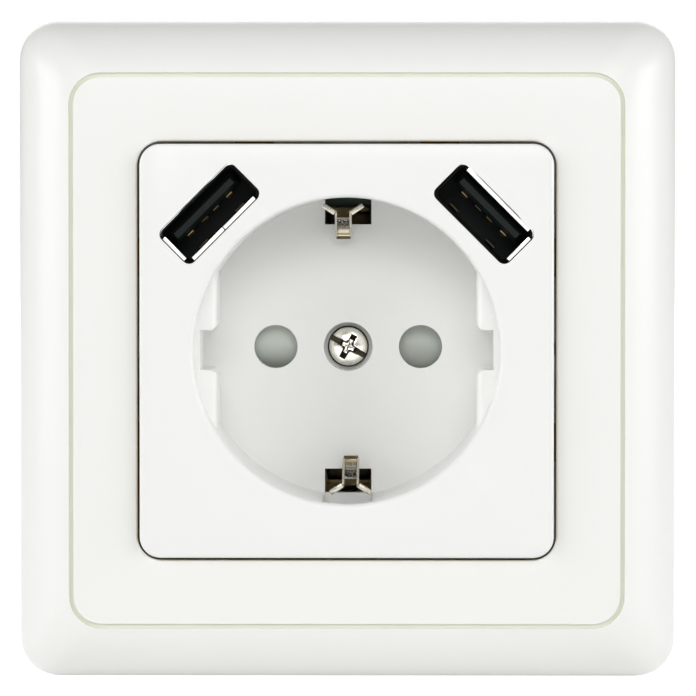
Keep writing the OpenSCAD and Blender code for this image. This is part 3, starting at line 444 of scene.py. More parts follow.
def thread(radius, depth, pitch, low, turns, steps=24):
    """A screw's thread wound from a vee."""
    bpy.ops.mesh.primitive_plane_add(size=1)
    obj = bpy.context.object
    edit(obj, "VERT")
    pick(obj, lambda vert: vert.co.x < 0 and vert.co.y < 0, "verts")
    bpy.ops.mesh.delete(type="VERT")
    pick(obj, lambda vert: vert.co.x * vert.co.y < 0, "verts")
    bpy.ops.mesh.edge_face_add()
    done()
    half = math.sqrt(0.5)
    obj.matrix_basis = (Matrix.Translation((radius - depth, 0, low + pitch / 2))
                        @ Matrix.Diagonal((depth / half, 1, pitch / 2 / half, 1))
                        @ Matrix.Rotation(math.radians(90), 4, "X")
                        @ Matrix.Rotation(math.radians(-45), 4, "Z"))
    settle(obj)
    apply_modifier(obj, "SCREW", axis="Z", steps=steps, screw_offset=pitch, iterations=turns,
                   use_merge_vertices=True)
    edit(obj, "VERT")
    bpy.ops.mesh.select_all(action="SELECT")
    bpy.ops.mesh.remove_doubles(threshold=0.001)
    bpy.ops.mesh.fill_holes(sides=8)
    done()
    outward(obj)
    return obj


def give_rings(obj, material, first, last):
    """Puts a material on the faces between two outlines of a loft."""
    marks = [entry.value for entry in obj.data.attributes["ring"].data]
    obj.data.materials.append(material)
    slot = len(obj.data.materials) - 1
    for face in obj.data.polygons:
        if all(first <= marks[vert] <= last for vert in face.vertices):
            face.material_index = slot


def give_faces(obj, material, test):
    """Puts a material on the faces that pass the test; places and sizes are in metres."""
    obj.data.materials.append(material)
    edit(obj)
    pick(obj, test)
    obj.active_material_index = len(obj.data.materials) - 1
    bpy.ops.object.material_slot_assign()
    done()


# Shader groups


def new_group(name, inputs, outputs):
    group = bpy.data.node_groups.new(name, "ShaderNodeTree")
    for label, kind, value in inputs:
        socket = group.interface.new_socket(label, in_out="INPUT", socket_type=kind)
        socket.default_value = value
    for label, kind in outputs:
        group.interface.new_socket(label, in_out="OUTPUT", socket_type=kind)
    start = group.nodes.new("NodeGroupInput")
    end = group.nodes.new("NodeGroupOutput")
    return group, start, end


def add(tree, kind, links=(), **values):
    """Adds a node, sets its properties, and fills its inputs from values or from other sockets."""
    node = tree.nodes.new(kind)
    for key, value in values.items():
        setattr(node, key, value)
    for socket, value in links:
        target = node.inputs[socket]
        if isinstance(value, bpy.types.NodeSocket):
            tree.links.new(value, target)
        else:
            target.default_value = value
    return node


def noise(tree, vector, scale, detail=2.0, rough=0.5):
    return add(tree, "ShaderNodeTexNoise", [
        ("Vector", vector), ("Scale", scale), ("Detail", detail), ("Roughness", rough)]).outputs["Fac"]


def remap(tree, value, low, high, to_low, to_high):
    return add(tree, "ShaderNodeMapRange", [
        ("Value", value), ("From Min", low), ("From Max", high), ("To Min", to_low), ("To Max", to_high)
    ]).outputs["Result"]


def maths(tree, operation, a, b):
    return add(tree, "ShaderNodeMath", [(0, a), (1, b)], operation=operation).outputs[0]


def mix_colour(tree, factor, a, b, blend="MIX"):
    node = tree.nodes.new("ShaderNodeMix")
    node.data_type = "RGBA"
    node.blend_type = blend
    for socket, value in ((0, factor), (6, a), (7, b)):
        if isinstance(value, bpy.types.NodeSocket):
            tree.links.new(value, node.inputs[socket])
        else:
            node.inputs[socket].default_value = value
    return node.outputs[2]


def moulded_group():
    """Moulded plastic: faint mottling, a satin that varies a little, and a fine skin texture."""
    group, start, end = new_group("Moulded skin", [
        ("Colour", "NodeSocketColor", (0.8, 0.8, 0.8, 1)), ("Mottle", "NodeSocketFloat", 0.02),
        ("Roughness", "NodeSocketFloat", 0.35), ("Variation", "NodeSocketFloat", 0.06),
        ("Grain scale", "NodeSocketFloat", 1200.0)],
        [("Colour", "NodeSocketColor"), ("Roughness", "NodeSocketFloat"), ("Height", "NodeSocketFloat")])
    place = group.nodes.new("ShaderNodeTexCoord").outputs["Object"]
    broad = noise(group, place, 55.0, 3.0)
    fine = noise(group, place, 420.0, 2.0)
    shade = maths(group, "MULTIPLY", maths(group, "SUBTRACT", broad, 0.5), start.outputs["Mottle"])
    dark = mix_colour(group, 1.0, start.outputs["Colour"], (0.93, 0.935, 0.92, 1), "MULTIPLY")
    tint = maths(group, "ADD", 0.18, maths(group, "MULTIPLY", shade, 12.0))
    colour = mix_colour(group, tint, start.outputs["Colour"], dark)
    swing = maths(group, "MULTIPLY", maths(group, "SUBTRACT", fine, 0.5), start.outputs["Variation"])
    group.links.new(colour, end.inputs["Colour"])
    group.links.new(maths(group, "ADD", start.outputs["Roughness"], swing), end.inputs["Roughness"])
    grain = noise(group, place, start.outputs["Grain scale"], 3.0, 0.6)
    group.links.new(grain, end.inputs["Height"])
    return group


def metal_group():
    """Rolled or turned metal: fine drawn streaks and cloudy tarnish."""
    group, start, end = new_group("Drawn metal", [
        ("Colour", "NodeSocketColor", (0.7, 0.7, 0.7, 1)),
        ("Tarnish", "NodeSocketColor", (0.45, 0.4, 0.33, 1)),
        ("Amount", "NodeSocketFloat", 0.3), ("Roughness", "NodeSocketFloat", 0.25),
        ("Streak", "NodeSocketVector", (300.0, 300.0, 4000.0)), ("Cloud", "NodeSocketFloat", 260.0),
        ("Cloud low", "NodeSocketFloat", 0.42), ("Cloud high", "NodeSocketFloat", 0.72)],
        [("Colour", "NodeSocketColor"), ("Roughness", "NodeSocketFloat"), ("Height", "NodeSocketFloat")])
    place = group.nodes.new("ShaderNodeTexCoord").outputs["Object"]
    stretch = add(group, "ShaderNodeVectorMath", [(0, place), (1, start.outputs["Streak"])],
                  operation="MULTIPLY").outputs[0]
    streak = noise(group, stretch, 1.0, 3.0, 0.6)
    cloud = noise(group, place, start.outputs["Cloud"], 4.0, 0.6)
    spread = remap(group, cloud, start.outputs["Cloud low"], start.outputs["Cloud high"], 0.0, 1.0)
    stain = maths(group, "MULTIPLY", spread, start.outputs["Amount"])
    colour = mix_colour(group, stain, start.outputs["Colour"], start.outputs["Tarnish"])
    rough = maths(group, "ADD", start.outputs["Roughness"],
                  maths(group, "MULTIPLY", maths(group, "ADD", streak, cloud), 0.09))
    group.links.new(colour, end.inputs["Colour"])
    group.links.new(rough, end.inputs["Roughness"])
    group.links.new(streak, end.inputs["Height"])
    return group


def zinc_group():
    """Galvanised sheet: soft spangle with a slight change of shade from grain to grain."""
    group, start, end = new_group("Zinc spangle", [
        ("Colour", "NodeSocketColor", (0.6, 0.62, 0.63, 1)), ("Scale", "NodeSocketFloat", 420.0),
        ("Roughness", "NodeSocketFloat", 0.4)],
        [("Colour", "NodeSocketColor"), ("Roughness", "NodeSocketFloat"), ("Height", "NodeSocketFloat")])
    place = group.nodes.new("ShaderNodeTexCoord").outputs["Object"]
    warp = add(group, "ShaderNodeTexNoise", [("Vector", place), ("Scale", 300.0)])
    bent = add(group, "ShaderNodeVectorMath", [
        (0, warp.outputs["Color"]), (1, (0.0018, 0.0018, 0.0018)), (2, place)],
        operation="MULTIPLY_ADD").outputs[0]
    cells = add(group, "ShaderNodeTexVoronoi", [("Vector", bent), ("Scale", start.outputs["Scale"])])
    value = add(group, "ShaderNodeSeparateColor", [("Color", cells.outputs["Color"])]).outputs[0]
    dark = mix_colour(group, 1.0, start.outputs["Colour"], (0.72, 0.74, 0.77, 1), "MULTIPLY")
    group.links.new(mix_colour(group, value, dark, start.outputs["Colour"]), end.inputs["Colour"])
    swing = remap(group, value, 0.0, 1.0, -0.07, 0.1)
    group.links.new(maths(group, "ADD", start.outputs["Roughness"], swing), end.inputs["Roughness"])
    group.links.new(noise(group, place, 2600.0, 2.0), end.inputs["Height"])
    return group


GROUPS = {"moulded": moulded_group, "metal": metal_group, "zinc": zinc_group}


def group_of(kind):
    made = {"moulded": "Moulded skin", "metal": "Drawn metal", "zinc": "Zinc spangle"}[kind]
    return bpy.data.node_groups.get(made) or GROUPS[kind]()


def material(name, kind, values, bump, depth, **shader_values):
    """A material of one effect group, with its colour, roughness and height, and plain shader values."""
    found = bpy.data.materials.get(name)
    if found:
        return found
    made = bpy.data.materials.new(name)
    made.use_nodes = True
    tree = made.node_tree
    shader = tree.nodes["Principled BSDF"]
    skin = tree.nodes.new("ShaderNodeGroup")
    skin.node_tree = group_of(kind)
    for key, value in values.items():
        skin.inputs[key].default_value = value
    tree.links.new(skin.outputs["Colour"], shader.inputs["Base Color"])
    tree.links.new(skin.outputs["Roughness"], shader.inputs["Roughness"])
    raised = add(tree, "ShaderNodeBump", [
        ("Strength", bump), ("Distance", depth), ("Height", skin.outputs["Height"])])
    tree.links.new(raised.outputs["Normal"], shader.inputs["Normal"])
    for key, value in shader_values.items():
        shader.inputs[key.replace("_", " ")].default_value = value
    return made


def rgba(colour):
    return (*colour, 1.0)


def plastic(name, colour, roughness, grain=1200.0, mottle=0.02, bump=0.12, depth=0.01, **shader_values):
    """A moulded plastic; depth is the height of its skin in millimetres."""
    return material(name, "moulded", {
        "Colour": rgba(colour), "Roughness": roughness, "Grain scale": grain, "Mottle": mottle},
        bump, depth * MM, **shader_values)


def metal(name, colour, tarnish, amount, roughness, streak, bump=0.1, depth=0.01, cloud=()):
    """A worked metal; cloud is the scale of its tarnish and where it starts and is full."""
    values = {"Colour": rgba(colour), "Tarnish": rgba(tarnish), "Amount": amount, "Roughness": roughness,
              "Streak": streak}
    values.update(zip(("Cloud", "Cloud low", "Cloud high"), cloud))
    return material(name, "metal", values, bump, depth * MM, Metallic=1.0)


def barrelled(made, radius, flat, lean):
    """Shades the shutter's ramps as on a level barrel that curves no more above the level flat.

    The right ramp slopes the other way in its mesh, so it gets the lean that brings it to the left one's.
    """
    tree = made.node_tree
    if "Barrel" in tree.nodes:
        return made
    place = add(tree, "ShaderNodeSeparateXYZ", [(0, tree.nodes.new("ShaderNodeTexCoord").outputs["Object"])])
    level = place.outputs["Z"]
    curved = maths(tree, "MINIMUM", level, flat)
    twice = maths(tree, "SUBTRACT", curved, maths(tree, "MULTIPLY", level, 2.0))
    bow = maths(tree, "MULTIPLY", maths(tree, "MULTIPLY", curved, twice), 0.5 / radius)
    right = maths(tree, "MULTIPLY", maths(tree, "GREATER_THAN", place.outputs["X"], 0.0), lean)
    height = maths(tree, "ADD", bow, maths(tree, "MULTIPLY", level, right))
    barrel = add(tree, "ShaderNodeBump", [
        ("Strength", 1.0), ("Distance", 1.0), ("Height", height)], name="Barrel")
    fine = tree.nodes["Principled BSDF"].inputs["Normal"].links[0].from_node
    tree.links.new(barrel.outputs["Normal"], fine.inputs["Normal"])
    return made


def finishes():
    """Every finish by name, made once."""
    look = finish()
    strip, shell = (3600.0, 260.0, 260.0), (500.0, 4200.0, 500.0)
    shutter = plastic("Shutter plastic", look.shutter_grey, 0.42, 1800.0, bump=0.15)
    return {
        "cover": plastic("Cover plastic", look.cover_white, 0.33, 1500.0),
        "insert": plastic("Insert plastic", look.insert_white, 0.33, 1500.0),
        # Painted shade: a dark brown for the walls that line the gap round the insert, where little light
        # reaches
        "gap": plastic(
            "Shaded gap", (0.36, 0.26, 0.12), 0.6, mottle=0.05, bump=0.15, Specular_IOR_Level=0.12),
        # Painted shade: the fine groove round the band gets a darker, greener white than the band
        "groove": plastic("Groove plastic", (0.84, 0.845, 0.735), 0.45, mottle=0.03),
        "housing": plastic("Housing plastic", look.housing_grey, 0.52, 3200.0, 0.03, 0.35, 0.02),
        "shutter": barrelled(shutter, radius=3.6 * MM, flat=0.6 * MM, lean=0.65),
        "port_black": plastic(
            "Port insulator", (0.006, 0.009, 0.008), 0.5, 2600.0, bump=0.2, Specular_IOR_Level=0.15),
        "board": plastic("Circuit board green", (0.035, 0.17, 0.07), 0.3, 900.0, 0.06, 0.2),
        "wrap": plastic("Transformer tape", (0.72, 0.52, 0.08), 0.38, 700.0, 0.05, 0.3, 0.02),
        "can": plastic("Capacitor sleeve", (0.05, 0.07, 0.11), 0.3, 900.0, 0.04, 0.2),
        "clip": metal("Tinned clip strip", look.clip_metal, (0.42, 0.35, 0.27), 0.45, 0.17, strip),
        # Painted shade: a warm golden brown for a band across the finger's web
        "clip_warm_shade": metal("Gilded clip strip", (0.34, 0.26, 0.12), (0.15, 0.11, 0.05), 0.8, 0.3, strip),
        # Painted shade: a dark copy of the strip for where it lies deep in the well
        "clip_shade": metal(
            "Shaded clip strip", (0.15, 0.115, 0.06), (0.04, 0.03, 0.016), 0.8, 0.42, strip, 0.2),
        # A knurl in its bump, under near-black painted shade with small bright grains of the metal
        "knurl": metal(
            "Knurled clip strip", (0.75, 0.73, 0.66), (0.012, 0.011, 0.009), 1.0, 0.25,
            (2600.0, 2600.0, 2600.0), 0.9, 0.12, cloud=(6200.0, 0.37, 0.46)),
        "port": metal("Nickel port sheet", (0.97, 0.96, 0.92), (0.7, 0.67, 0.6), 0.15, 0.2, shell, 0.08),
        # Painted shade: the shell's tube is a near-black copy of its nickel sheet
        "port_shade": metal(
            "Shaded port sheet", (0.018, 0.017, 0.014), (0.005, 0.005, 0.004), 0.6, 0.38, shell),
        # Painted shade: the spring tabs are a darkened copy of the shell's sheet
        "port_tab_shade": metal("Port spring tab", (0.16, 0.14, 0.10), (0.05, 0.045, 0.03), 0.6, 0.4, shell),
        "screw": metal(
            "Plated screw steel", (0.84, 0.83, 0.76), (0.28, 0.25, 0.20), 0.4, 0.1,
            (900.0, 900.0, 900.0), 0.12),
        # Painted shade: a near-black steel for the screw's recess and the head's outer edge
        "recess": metal(
            "Screw recess", (0.05, 0.045, 0.033), (0.008, 0.007, 0.005), 0.9, 0.35,
            (1500.0, 1500.0, 1500.0), 0.3, 0.02),
        "gold": metal(
            "Gilt contact", (0.30, 0.23, 0.12), (0.09, 0.07, 0.045), 0.6, 0.35, (3000.0, 300.0, 3000.0)),
        "brass": metal(
            "Stamped brass", (0.72, 0.53, 0.24), (0.42, 0.27, 0.12), 0.5, 0.28, (400.0, 3000.0, 400.0), 0.15),
        "zinc": material("Galvanised sheet", "zinc", {}, 0.25, 0.01 * MM, Metallic=1.0),
    }


NODE_FINISH = {
    "cover_frame": "cover", "socket_cover": "insert", "centre_screw": "screw", "shutter": "shutter",
    "shutter_spring": "screw", "contact_carrier": "housing", "earth_bracket": "clip",
    "live_contact": "brass", "neutral_contact": "brass", "terminal_live": "brass",
    "terminal_neutral": "brass", "terminal_earth": "brass", "terminal_screws": "screw",
    "usb_shell_left": "port", "usb_shell_right": "port", "usb_tongue_left": "port_black",
    "usb_tongue_right": "port_black", "usb_contacts_left": "gold", "usb_contacts_right": "gold",
    "usb_board": "board", "power_board": "board", "board_pins": "gold", "transformer": "wrap",
    "input_capacitor": "can", "output_capacitor": "can", "mounting_ring": "zinc", "ring_screws": "screw",
    "claw_left": "zinc", "claw_right": "zinc", "claw_screw_left": "screw", "claw_screw_right": "screw",
    "base_housing": "housing",
}
WELDED = (
    "shutter", "shutter_spring", "base_housing", "mounting_ring", "claw_left", "claw_right",
    "contact_carrier", "ring_screws",
)


# One operator for each piece or group of like pieces


class SOCKET_OT_finishes(bpy.types.Operator):
    """Gives every solid its own finish"""
    bl_idname = "socket.finishes"
    bl_label = "Finish the solids"

    def execute(self, context):
        ready = finishes()
        for node, key in NODE_FINISH.items():
            mesh = frame["nodes"][node].data
            mesh.materials.clear()
            mesh.materials.append(ready[key])
        return {"FINISHED"}


class SOCKET_OT_welded(bpy.types.Operator):
    """Makes the moulded and stamped pieces from welded copies of their solids"""
    bl_idname = "socket.welded"
    bl_label = "Weld the moulded pieces"

    def execute(self, context):
        ready = finishes()
        for node in WELDED:
            piece = merged_copy(node, node + "_body")
            if node == "base_housing":
                piece = join(node + "_body", piece, *self.skins())
            dress(piece, ready[NODE_FINISH[node]], node)
            if node == "shutter_spring":
                self.coil(piece)
        return {"FINISHED"}

    def coil(self, spring):
        """Gives the spring a mesh of its own."""
        size = sizes()
        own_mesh(spring)

    def skins(self):
        """The thin skins across the three wire entries, to be broken out for the wires."""
        size = sizes()
        made = []
        for x in (-size.entry_pitch, 0.0, size.entry_pitch):
            skin = loft("skin", [(size.entry_r, size.entry_skin),
                                 (size.entry_r, size.entry_skin + size.entry_skin_t)], 32, caps=True)
            skin.location = (x, size.entry_y, 0)
            made.append(stand(skin))
        return made


class SOCKET_OT_cover(bpy.types.Operator):
    """Models the cover frame: bowed border, groove ring, flat band, window lip and ribs"""
    bl_idname = "socket.cover"
    bl_label = "Model the cover frame"

    def execute(self, context):
        size = sizes()
        start, end = size.bow_start, size.bow_end
        border = (size.cover_w - size.band_w) / 2
        run, rise = math.cos(start) - math.cos(end), math.sin(end) - math.sin(start)

        def bowed(share, skin):
            """The border's outline at a share of the way from its edge to the band."""
            angle = start + share * (end - start)
            inward = border * (math.cos(start) - math.cos(angle)) / run
            level = size.edge_h + (size.cover_h - size.edge_h) * (math.sin(angle) - math.sin(start)) / rise
            width = size.cover_w - 2 * inward - 2 * skin
            return width, width, size.corner_r + share * (size.band_r - size.corner_r) - skin, level - skin

        def square(width, radius, level):
            return width, width, radius, level

        bow_steps, edge_steps = 14, 4
        ease, lip, draft, lip_h = 0.15, 0.07, 0.02, 0.1  # Rounding of the foot and of the groove's lips
        top, band, band_r = size.cover_h, size.band_w, size.band_r
        inner, inner_r = band - 2 * size.groove_w, band_r - size.groove_w
        rings = [square(size.cover_w - 2 * size.skin, size.corner_r - size.skin, 0),
                 square(size.cover_w - 2 * ease, size.corner_r - ease, 0),
                 square(size.cover_w, size.corner_r, ease)]
        rings += [bowed(step / bow_steps, 0) for step in range(bow_steps)]
        groove = len(rings)
        rings += [square(band + 2 * lip, band_r + lip, top - draft),
                  square(band + draft, band_r, top - lip_h),
                  square(band, band_r, top - size.groove_h), square(inner, inner_r, top - size.groove_h),
                  square(inner - draft, inner_r, top - lip_h),
                  square(inner - 2 * lip, inner_r - lip, top - draft / 2),
                  square(inner - 2 * ease, inner_r - ease, top)]
        opening, opening_r, edge = size.window_w, size.window_r, size.window_edge
        for step in range(edge_steps + 1):
            angle = math.radians(90) * step / edge_steps
            aside = edge * (1 - math.sin(angle))
            rings.append(square(opening + 2 * aside, opening_r + aside, top - edge * (1 - math.cos(angle))))
        window = len(rings)
        outside, outside_r = opening + 2 * size.lip_t, opening_r + size.lip_t
        rings += [square(opening, opening_r, size.lip_low), square(outside, outside_r, size.lip_low),
                  square(outside, outside_r, top - size.skin)]
        inside = (bowed(1 - step / bow_steps, size.skin) for step in range(bow_steps))
        lowest = 0.1
        rings += [spec for spec in inside if spec[3] > lowest]
        skin = loft("skin", rings, 10, closed=True)
        ready = finishes()
        skin.data.materials.append(ready["cover"])
        # Painted shade on the groove's faces, and on the window's inner wall from its rounded edge down to
        # the lip's end
        give_rings(skin, ready["groove"], groove + 1, groove + 4)
        give_rings(skin, ready["gap"], window - 1, window)
        piece = stand(join("cover_frame_body", skin, *self.ribs(ready["cover"])))
        smooth(piece)
        dress(piece, None, "cover_frame")
        return {"FINISHED"}

    def ribs(self, plastic_finish):
        """Two ribs behind the band on each side."""
        size = sizes()
        half, short, sunk = size.rib_t / 2, 1.4, 0.1  # The ribs end short of the band and sink into its back
        made = []
        for turn in range(4):
            for x in (-size.rib_x, size.rib_x):
                rib = block(x - half, x + half, size.window_w / 2 + size.rib_t, size.band_w / 2 - short,
                            size.edge_h, size.cover_h - size.skin + sunk, 0.1)
                rib.matrix_basis = Matrix.Rotation(math.radians(90) * turn, 4, "Z")
                settle(rib)
                rib.data.materials.append(plastic_finish)
                made.append(rib)
        return made


class SOCKET_OT_insert(bpy.types.Operator):
    """Makes the insert with the plug well, and paints shade on the sides that line the gap"""
    bl_idname = "socket.insert"
    bl_label = "Make the insert"

    def execute(self, context):
        size, ready = sizes(), finishes()
        piece = merged_copy("socket_cover", "socket_cover_body")
        slot_low, under, over = 19.0, -12.0, -8.3  # The cut starts in the slot and passes through the floor
        cut(piece, stand(block(-size.slot_half, size.slot_half, slot_low, size.slot_top, under, over)))
        dress(piece, ready["insert"], "socket_cover")
        side, rim = 26.6 * MM, 7.9 * MM
        # Painted shade on the insert's sides below its front, where they line the gap
        give_faces(piece, ready["gap"],
                   lambda face: reach_of(face) > side and -face.calc_center_median().y < rim)
        return {"FINISHED"}


class SOCKET_OT_screw(bpy.types.Operator):
    """Turns the centre screw and cuts its slot and tapered cross"""
    bl_idname = "socket.screw"
    bl_label = "Model the centre screw"

    cross_half, cross_h = 0.56, 1.45
    slot_half, slot_h = 0.37, 0.95
    over = 0.7

    def execute(self, context):
        size = sizes()
        middle = size.head_top - size.dome_r
        foot, waist = size.seat - size.screw_l, size.shank_r - 0.3

        def dome(radius):
            return middle + math.sqrt(max(size.dome_r ** 2 - radius ** 2, 0))

        rings = [(waist, size.seat), (size.head_r - 0.12, size.seat), (size.head_r, size.seat + 0.12),
                 (size.head_r, dome(size.head_r) - 0.1)]
        rings += [(r, dome(r)) for r in (2.64, 2.5, 2.3, 2.0, 1.7, 1.35, 1.0, 0.65, 0.3, 0.05)]
        head = loft("head", rings, 72, caps=True)
        slot = block(-size.head_r + 0.2, size.head_r - 0.2, -self.slot_half, self.slot_half,
                     size.head_top - self.slot_h, size.head_top + self.over)
        for cutter in (slot, self.cross()):
            cutter.matrix_basis = Matrix.Rotation(size.recess_turn, 4, "Z")
            settle(cutter)
            cut(head, cutter)
        soften(head, 0.08)
        core = loft("core", [(size.shank_r - 0.7, foot), (waist, foot + 0.4), (waist, size.seat + 0.3)],
                    32, caps=True)
        wound = thread(size.shank_r, size.thread_h, size.pitch, foot + 0.3, 11)
        piece = stand(join("centre_screw_body", head, core, wound))
        smooth(piece)
        dress(piece, finishes()["screw"], "centre_screw")
        floor, edge = size.head_top - self.cross_h + 0.05, 2.54

        def sunk(face):
            """Whether the face lies in the recess or on the head's outer edge."""
            place = face.calc_center_median() / MM
            across = math.hypot(place.x, place.z)
            return -place.y > size.head_top - 1.7 and (across > edge or floor < -place.y < dome(across) - 0.1)

        # Painted shade in the slot and cross and on the head's outer edge
        give_faces(piece, finishes()["recess"], sunk)
        return {"FINISHED"}

    def cross(self):
        """The cross that is cut into the head: four tapered arms with rounded corners between them."""
        size, half = sizes(), self.cross_half
        near = half + 0.01
        low = size.head_top - self.cross_h
        cross = block(-half, half, -half, half, low, size.head_top + self.over - 0.1)
        edit(cross)
        for (x, y), reach in (((1, 0), 1.5), ((-1, 0), 1.5), ((0, 1), 1.8), ((0, -1), 1.8)):
            pick(cross, lambda face: face.normal.x * x + face.normal.y * y > 0.9
                 and max(abs(face.calc_center_median().x), abs(face.calc_center_median().y)) < near)
            bpy.ops.mesh.extrude_region_move(TRANSFORM_OT_translate={"value": (x * reach, y * reach, 0)})
        pick(cross, lambda vert: vert.co.z < low + 0.01, "verts")
        bpy.ops.transform.resize(value=(0.4, 0.4, 1), center_override=(0, 0, low))
        bpy.ops.mesh.select_mode(type="EDGE")
        pick(cross, lambda edge: abs(edge.verts[0].co.z - edge.verts[1].co.z) > 1
             and max(abs(vert.co.x) for vert in edge.verts) < near
             and max(abs(vert.co.y) for vert in edge.verts) < near, "edges")
        bpy.ops.mesh.bevel(offset=0.3, segments=5, affect="EDGES")
        done()
        outward(cross)
        return cross


class SOCKET_OT_ports(bpy.types.Operator):
    """Models the two ports: rolled shells with lips and spring tabs, tongues and contacts"""
    bl_idname = "socket.ports"
    bl_label = "Model the ports"

    def execute(self, context):
        for side, name in ((-1, "left"), (1, "right")):
            self.shell(side, name)
            self.tongue(side, name)
            self.contacts(side, name)
        return {"FINISHED"}

    def place(self, node, side, material, *parts):
        """Joins a piece of a port, turns it into its corner and gives it its finish."""
        size = sizes()
        piece = stand(join(node + "_body", *parts), -size.port_turn * side, size.port_reach)
        smooth(piece)
        dress(piece, material, node)

    def shell(self, side, name):
        size, ready = sizes(), finishes()
        w, h, t = size.port_w, size.port_h, size.port_sheet
        half_w, half_h = w / 2, h / 2
        front, back, rim = size.port_front, size.port_back, size.port_front - 0.55
        tube = loft("tube", [
            (w, h, 0.9, back), (w, h, 0.9, rim), (w - 0.12, h - 0.12, 0.85, rim + 0.04),
            (w - 2 * t, h - 2 * t, 0.6, rim - 0.22), (w - 2 * t, h - 2 * t, 0.6, back)], 6, closed=True)
        # The tube is the shell's sheet in painted shade; the lips keep the bright nickel
        tube.data.materials.append(ready["port_shade"])

        def lip(x0, x1, y0, y1):
            (x0, x1), (y0, y1) = sorted((x0, x1)), sorted((y0, y1))
            made = block(x0, x1, y0, y1, rim - t, front, 0.03)
            made.data.materials.append(ready["port"])
            return made

        # The long lip lies towards the well on the left port and away from it on the right one
        seam, end = 0.07, half_w - 1.0
        long_y = half_h * side
        spans = ((-end, -seam), (seam, end)) if side < 0 else ((-end, end),)
        parts = [tube] + [lip(x0, x1, long_y, long_y * (1 - 1.6 * t / half_h)) for x0, x1 in spans]
        parts.append(lip(side * half_w, side * (half_w - 1.5 * t), -half_h + 0.9, half_h - 0.9))
        wall = t / 2 - half_h
        for x in (-3.3, 3.3):
            path = eased([(wall, back + 2.3), (wall, back + 2.9), (wall + 0.85, back + 6.4),
                          (wall + 0.5, back + 7.3)], 0.3)
            tab = sheet(path, 1.5, t * 0.9, x, 0.05)
            # The tabs get the shell's sheet in painted shade
            tab.data.materials.append(ready["port_tab_shade"])
            parts.append(tab)
        self.place("usb_shell_" + name, side, None, *parts)

    def tongue(self, side, name):
        size = sizes()
        back, play = size.port_back, 0.66
        plate = (size.port_w - play, size.port_h - play, 0.55)
        base = loft("base", [(*plate, back), (*plate, back + 1.6)], 6, caps=True)
        w, h, top = size.tongue_w, size.tongue_t, size.port_front - 0.8
        blade = loft("blade", [(w, h, 0.12, back), (w, h, 0.12, top - 1.2), (w - 0.9, h - 1.08, 0.1, top)],
                     3, caps=True)
        blade.location.y = size.tongue_y + h / 2
        settle(blade)
        self.place("usb_tongue_" + name, side, finishes()["port_black"], base, blade)

    def contacts(self, side, name):
        size = sizes()
        face, root = size.tongue_y, size.port_back + 1.6
        parts = []
        for x, short in ((-3.5112, 0.0), (-1.0032, 1.0), (1.0032, 1.0), (3.5112, 0.0)):
            top = size.port_front - 1.6 - short
            path = eased([(face - 0.125, root), (face - 0.125, top - 1.9), (face - 0.42, top - 1.1),
                          (face - 0.06, top - 0.1)], 0.3)
            parts.append(sheet(path, 1.0, 0.2, x, 0.04))
        self.place("usb_contacts_" + name, side, finishes()["gold"], *parts)


